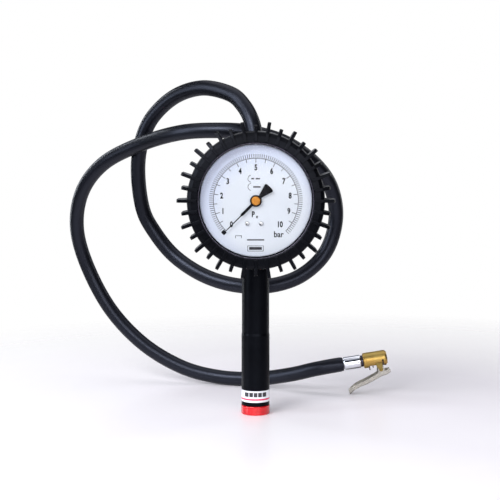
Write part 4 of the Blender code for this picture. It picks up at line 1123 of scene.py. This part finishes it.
    def numerals(self, ink):
        """The numerals stand on a slightly flat ellipse: (1.04 r sin a, r cos a)."""
        s = sizes()
        height, radius = s.numeral_height / MM, s.numeral_radius / MM
        shells = []
        for value in range(11):
            angle = math.radians(ZERO_DEG + SWEEP_DEG * value / 10)
            shells.append(self.lettering(str(value), 1.04 * radius * math.sin(angle),
                                         radius * math.cos(angle), height))
        shells.append(self.lettering("bar", 18.8, -27.4, height * 1.05, 0.9, 0.03))
        shells.append(self.lettering("P", -2.1, -11.0, height))
        shells.append(self.lettering("e", 0.9, -13.3, height * 0.62, 0.85, 0.04))
        add_piece("dial_numerals", together(*shells), ink)

    def screw(self, side, x, finish):
        """A slotted screw of the dial, at its own distance from the middle."""
        def place(points):
            return on_gauge(np.asarray(points, float) + (x, -DIAL_SCREW_DROP, 0.0))

        head = eased([(0, 38.4), (1.4, 38.4), (1.9, 37.9), (1.9, 37.3), (0.8, 37.3), (0.8, 33.8),
                      (0, 33.8)], 0.2, 3, closed=False)
        piece = add_piece(f"dial_screw_{side}_steel", turned(head, place, 40, False), finish,
                          stands_for=[f"dial_screw_{side}"])
        slot = [(-3, -0.22), (3, -0.22), (3, 0.22), (-3, 0.22)]
        cut_away(piece, slab(slot, 38.0, 39.0, 0.01, place, 1))


class INFLATOR_OT_pointer(bpy.types.Operator):
    """Pointer and its slotted hub"""
    bl_idname = "inflator.pointer"
    bl_label = "Pointer"

    def execute(self, context):
        length = sizes().pointer_length / MM
        outline = np.concatenate([
            [(-0.32, length), (-0.45, 17.2), (-1.15, 16.0), (-1.15, 4.7)], arc(HUB_RADIUS, 104, 252, 24),
            [(-1.6, -5.6), (-4.0, -13.7), (-4.35, -14.7), (-3.95, -15.5)], arc(16.2, 258, 282, 8),
            [(3.95, -15.5), (4.35, -14.7), (4.0, -13.7), (1.6, -5.6)],
            arc(HUB_RADIUS, -72, 76, 24), [(1.15, 4.7), (1.15, 16.0), (0.45, 17.2), (0.32, length)]])
        black = moulded("Pointer black", (0.001, 0.001, 0.0012), (0.002, 0.002, 0.0025), 0.35, 0.5,
                        1800.0, 0.00001, Specular_IOR_Level=0.15)
        add_piece("pointer_black_blade", slab(outline, 39.2, 39.8, 0.1, self.at_zero, 2), black,
                  "pointer", ["pointer"])
        cap = eased([(0, 40.8), (3.3, 40.8), (3.7, 40.5), (3.7, 40.1), (1.1, 40.1), (1.1, 37.6),
                     (0, 37.6)], 0.2, 3, closed=False)
        copper = machined("Hub brass", (0.50, 0.20, 0.035), (0.62, 0.27, 0.05), 0.3, 0.45,
                          (1.0, 1.0, 1.0), 1100.0, 0.00001, 400.0, 0.6)
        piece = add_piece("pointer_hub_brass", turned(cap, self.at_zero, 64, False), copper,
                          "pointer", ["pointer_hub"])
        slot = [(-5, -0.4), (5, -0.4), (5, 0.4), (-5, 0.4)]
        cut_away(piece, slab(slot, 40.4, 42.0, 0.01, self.at_zero, 1))
        return {"FINISHED"}

    def at_zero(self, points):
        """Turns a shape that points up so that it points at zero."""
        points = np.asarray(points, float)
        turn = math.radians(-ZERO_DEG)
        x, y, z = points[..., 0], points[..., 1], points[..., 2]
        return on_gauge(np.stack([x * math.cos(turn) - y * math.sin(turn),
                                  x * math.sin(turn) + y * math.cos(turn), z], -1))


# --- hose and chuck ----------------------------------------------------------------------
class INFLATOR_OT_chuck(bpy.types.Operator):
    """Ferrule, nipple and brass body of the clip-on chuck"""
    bl_idname = "inflator.chuck"
    bl_label = "Chuck"

    def execute(self, context):
        ferrule = eased([(4.6, 16.0), (5.9, 16.0), (6.35, 15.4), (6.35, 0.9), (6.0, 0.3), (4.6, 0.3)],
                        0.3, 4)
        add_piece("chuck_ferrule_chrome", turned(ferrule, on_chuck, 96), chrome(),
                  stands_for=["chuck_ferrule"])
        nipple = eased([(1.5, 23.4), (3.7, 23.4), (3.7, 18.3), (5.4, 18.3), (5.4, 16.3),
                        (4.2, 16.3), (4.2, 9.0), (3.6, 9.0), (4.2, 5.5), (3.4, 2.2), (1.5, 2.2)],
                       0.15, 3)
        add_piece("chuck_nipple_dark", turned(nipple, on_chuck, 48), dark_steel(),
                  stands_for=["chuck_nipple"])
        self.body()
        pin = eased([(0, 7.5), (1.0, 7.5), (1.0, -7.5), (0, -7.5)], 0.3, 3, closed=False)
        add_piece("chuck_lever_pin_steel", turned(pin, on_lever, 32, False), olive_brass(),
                  stands_for=["chuck_lever_pin"])
        return {"FINISHED"}

    def body(self):
        """A turned barrel with its flat and slots cut out, its ears, a dark slab of painted shade inside
        each slot, and the dark prongs.
        """
        profile = eased([(4.1, 40.8), (5.6, 40.8), (7.2, 39.0), (7.2, 19.2), (6.6, 18.6),
                         (4.1, 18.6)], [0.2, 0.3, 0.4, 0.3, 0.2, 0.2], 4)
        piece = add_piece("chuck_body_brass", turned(profile, on_chuck, 96), brass(),
                          stands_for=["chuck_body"])
        flat = [(5.0, 9.0), (12.0, 9.0), (12.0, -9.0), (5.0, -9.0)]
        cut_away(piece, slab(flat, 23.0, 37.8, 0.01, on_chuck, 1))
        ears, slot_shade_and_prongs = [], []
        outline = eased([(28.6, 3.0), (35.3, 3.0), (35.3, 10.4), (34.4, 11.2), (32.6, 11.2)], 0.6, 3)
        for side in (-1, 1):
            low, high = sorted((side * 4.7, side * 9.0))
            slot = [(0.2, high), (9.0, high), (9.0, low), (0.2, low)]
            cut_away(piece, slab(slot, 35.6, 37.25, 0.01, on_chuck, 1))
            # A thin dark slab just inside each slot: painted shade, so the slot looks dark and deep.
            clip = [(0.5, side * 5.0 + 0.2), (6.0, side * 5.0 + 0.2), (6.0, side * 5.0 - 0.2),
                    (0.5, side * 5.0 - 0.2)]
            slot_shade_and_prongs.append(slab(clip, 35.7, 37.15, 0.05, on_chuck, 1))
            low, high = sorted((side * 5.95, side * 7.15))
            ears.append(slab(outline, low, high, 0.15,
                             lambda p: on_chuck(np.stack([p[..., 1], p[..., 2], p[..., 0]], -1))))
        for along, reach in ((23.7, 9.8), (27.0, 7.8)):
            prong = eased([(4.6, 0.6), (reach, 0.35), (reach, -0.35), (4.6, -0.6)], 0.15, 2)
            slot_shade_and_prongs.append(slab(prong, along - 0.5, along + 0.5, 0.1, on_chuck, 2))
        add_piece("chuck_ears_brass", together(*ears), olive_brass())
        # The slot slabs are painted shade; the prongs share their dark brown finish.
        add_piece("chuck_slot_shade_and_prongs", together(*slot_shade_and_prongs),
                  moulded("Slot shade and prongs", (0.02, 0.008, 0.004), (0.05, 0.025, 0.012), 0.4, 0.6, 1500.0,
                          0.00002))


class INFLATOR_OT_chuck_lever(bpy.types.Operator):
    """Pressed channel lever of the chuck, with its claw"""
    bl_idname = "inflator.chuck_lever"
    bl_label = "Chuck lever"

    def execute(self, context):
        c = colours()
        satin = machined("Satin plate", c.lever, tuple(v * 0.72 for v in c.lever), 0.3, 0.5,
                         (0.15, 1.0, 1.0), 700.0, 0.00004, 260.0, 0.8)
        claw = slab([(2.2, -4.6), (3.0, -4.6), (3.0, 5.6), (2.2, 5.6)], -2.2, 2.2, 0.1, on_lever, 2)
        add_piece("chuck_lever_satin", together(self.channel(), claw), satin, "chuck_lever",
                  ["chuck_lever"])
        return {"FINISHED"}

    def channel(self):
        """A sheet of one thickness folded to a channel, carried along the lever's line.

        At each station the fold runs up one cheek, round the floor and down the other, first on
        the outside and then back on the inside: y across, and d down from the line.
        """
        line = curve_through(LEVER_LINE, 72)
        x, middle, half = line.T
        bottom = middle + half
        eye, width, sheet, bend, bend_steps = 2.8, 5.7, 0.9, 1.0, 6
        raised = -np.sqrt(np.maximum(eye ** 2 - x ** 2, 0.0))
        top = np.where(np.abs(x) < eye, np.minimum(middle - half, raised), middle - half)
        corner = np.radians(np.linspace(0, 90, bend_steps))
        # Outside, from one cheek's top to the other's.
        side = np.concatenate([[-width], -width + bend * (1 - np.cos(corner)),
                               width - bend * (1 - np.cos(corner[::-1])), [width]])
        drop = np.concatenate([[0.0], bend * (np.sin(corner) - 1), bend * (np.sin(corner[::-1]) - 1),
                               [0.0]])
        is_top = np.concatenate([[1.0], np.zeros(2 * bend_steps), [1.0]])
        inner_side = side * (width - sheet) / width
        across = np.concatenate([side, inner_side[::-1]])
        tops = np.concatenate([is_top, is_top])
        lift = np.concatenate([drop, drop[::-1] - sheet])
        down = (top[:, None] * tops[None]
                + np.maximum(bottom[:, None] + lift[None], top[:, None] + 0.05) * (1 - tops[None]))
        along = np.broadcast_to(x[:, None], down.shape)
        points = np.stack([along, down, np.broadcast_to(across[None], down.shape)], -1)
        rows, columns = points.shape[:2]
        faces = grid_faces(rows, columns, False, True).tolist()
        # The open ends of the sheet are closed by a strip of faces.
        first = [[i, columns - 1 - i, columns - 2 - i, i + 1] for i in range(columns // 2 - 1)]
        last = [[(rows - 1) * columns + i for i in face] for face in first]
        return on_lever(points).reshape(-1, 3), faces + first + last


class INFLATOR_OT_hose(bpy.types.Operator):
    """Rubber hose from the handle to the chuck"""
    bl_idname = "inflator.hose"
    bl_label = "Hose"

    def execute(self, context):
        radius = sizes().hose_radius
        count, sides = 420, 40
        path = curve_through(HOSE_ROUTE, count)
        girth = np.full(count, radius)
        girth[[0, -1]] = radius - 0.0006
        shell = tube(path, girth, sides, (0.0, 1.0, 0.0))
        hose = add_piece("hose_rubber", shell, self.hose_finish(), stands_for=["hose"],
                         uv=self.wrapped(path, sides))
        return {"FINISHED"}

    def wrapped(self, path, sides):
        """UV of each face's corners: round the hose, and along it, both in metres."""
        rows = len(path)
        travelled = np.concatenate([[0], np.cumsum(np.linalg.norm(np.diff(path, axis=0), axis=1))])
        row, column = np.meshgrid(np.arange(rows - 1), np.arange(sides), indexing="ij")
        girth = 2 * math.pi * sizes().hose_radius / sides
        u = np.stack([column, column + 1, column + 1, column], -1) * girth
        v = np.stack([travelled[row], travelled[row], travelled[row + 1], travelled[row + 1]], -1)
        body = np.stack([u, v], -1).reshape(-1, 2)
        caps = np.zeros((2 * sides, 2))
        return np.concatenate([body, caps])

    def hose_finish(self):
        """Black rubber with a faint wrapped-cloth grain that follows the hose."""
        c = colours()
        made, tree, shader = new_finish("Hose rubber", Specular_IOR_Level=0.38,
                                        Specular_Tint=(0.70, 0.76, 1.0, 1.0))
        vector = where(tree)
        tone = add_group(tree, "Uneven tone", vector, Tone=c.rubber, Second_tone=c.rubber_bloom,
                         Scale=26.0, Amount=0.8)
        tree.links.new(tone.outputs["Colour"], shader.inputs["Base Color"])
        lines = add_group(tree, "Drawn lines", where(tree, "UV"), Stretch=(1.0, 0.35, 1.0),
                          Scale=1400.0, Smooth=0.30, Rough=0.44)
        tree.links.new(lines.outputs["Roughness"], shader.inputs["Roughness"])
        bump(tree, shader, lines.outputs["Height"], 0.4, 0.00004)
        return made


class INFLATOR_OT_insides(bpy.types.Operator):
    """Finishes of the small pieces inside the gauge, the handle and the chuck"""
    bl_idname = "inflator.insides"
    bl_label = "Inner pieces"

    def execute(self, context):
        steel, brassy, sheet = bright_steel(), plain_brass(), sheet_brass()
        rubber = seal_rubber()
        bronze = moulded("Sintered bronze", (0.35, 0.22, 0.10), (0.20, 0.12, 0.05), 0.55, 0.8,
                         2600.0, 0.0002, 300.0, Metallic=0.7)
        fibre = moulded("Red fibre", (0.30, 0.05, 0.03), (0.22, 0.04, 0.02), 0.6, 0.85, 2600.0,
                        0.00005, 200.0)
        finishes = {
            "inlet_filter": bronze, "valve_spring": steel, "valve_poppet": brassy,
            "poppet_seal": rubber, "valve_seat": brassy, "pin_seal": rubber,
            "bleed_spring": steel, "gauge_socket": brassy, "stem_gasket": fibre,
            "bourdon_tube": brassy, "tube_tip": brassy, "link": sheet,
            "movement_back_plate": sheet, "movement_front_plate": sheet,
            "pillar_left": brassy, "pillar_right": brassy, "pillar_lower": brassy,
            "pinion_arbor": steel, "sector_gear": sheet, "sector_arbor": steel,
            "hairspring": brassy, "chuck_lever_spring": steel, "chuck_pin_spring": steel,
            "chuck_pin": brassy, "chuck_seal": rubber,
        }
        for name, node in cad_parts.items():
            if node.hide_render:
                continue
            if name not in finishes:
                raise RuntimeError(f"no finish is named for {name}")
            node.data.materials.clear()
            node.data.materials.append(finishes[name])
        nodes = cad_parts
        tilt = math.radians(CHUCK_TILT_DEG)
        self.shorten(nodes["valve_spring"], "poppet_slide", (0.0, 1.0, 0.0), 0.30)
        self.shorten(nodes["bleed_spring"], "bleed_press", (0.0, 1.0, 0.0), 0.38)
        self.shorten(nodes["chuck_pin_spring"], "chuck_pin_press",
                     (math.cos(tilt), 0.0, math.sin(tilt)), 0.36)
        return {"FINISHED"}

    def shorten(self, spring, joint, axis, keep):
        """Gives a coil a mesh of its own and reads its points in world space; joint, axis and keep are
        not used.
        """
        points = np.empty(len(spring.data.vertices) * 3, np.float32)
        spring.data.vertices.foreach_get("co", points)
        matrix = np.array(spring.matrix_world)
        points = points.reshape(-1, 3) @ matrix[:3, :3].T + matrix[:3, 3]
        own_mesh(spring)


# --- panel and registration ---------------------------------------------------------------
OPERATORS = (INFLATOR_OT_stage, INFLATOR_OT_grip, INFLATOR_OT_tube, INFLATOR_OT_controls,
             INFLATOR_OT_boot, INFLATOR_OT_case, INFLATOR_OT_dial, INFLATOR_OT_pointer,
             INFLATOR_OT_chuck, INFLATOR_OT_chuck_lever, INFLATOR_OT_hose, INFLATOR_OT_insides)


class INFLATOR_PT_panel(bpy.types.Panel):
    """Lists the pieces, sizes and colours"""
    bl_idname = "INFLATOR_PT_panel"
    bl_label = "Tyre inflator"
    bl_space_type = "VIEW_3D"
    bl_region_type = "UI"
    bl_category = "Inflator"

    def draw(self, context):
        for operator in OPERATORS:
            self.layout.operator(operator.bl_idname)
        for group in (context.scene.inflator_sizes, context.scene.inflator_colours):
            column = self.layout.column()
            for name in group.__annotations__:
                column.prop(group, name)


CLASSES = (INFLATOR_PG_sizes, INFLATOR_PG_colours, *OPERATORS, INFLATOR_PT_panel)


def register():
    for cls in CLASSES:
        bpy.utils.register_class(cls)
    bpy.types.Scene.inflator_sizes = bpy.props.PointerProperty(type=INFLATOR_PG_sizes)
    bpy.types.Scene.inflator_colours = bpy.props.PointerProperty(type=INFLATOR_PG_colours)


def unregister():
    del bpy.types.Scene.inflator_sizes
    del bpy.types.Scene.inflator_colours
    for cls in reversed(CLASSES):
        bpy.utils.unregister_class(cls)


def main():
    register()
    bpy.ops.inflator.stage()
    bpy.ops.inflator.grip()
    bpy.ops.inflator.tube()
    bpy.ops.inflator.controls()
    bpy.ops.inflator.boot()
    bpy.ops.inflator.case()
    bpy.ops.inflator.dial()
    bpy.ops.inflator.pointer()
    bpy.ops.inflator.chuck()
    bpy.ops.inflator.chuck_lever()
    bpy.ops.inflator.hose()
    bpy.ops.inflator.insides()


if __name__ == "__main__":
    main()
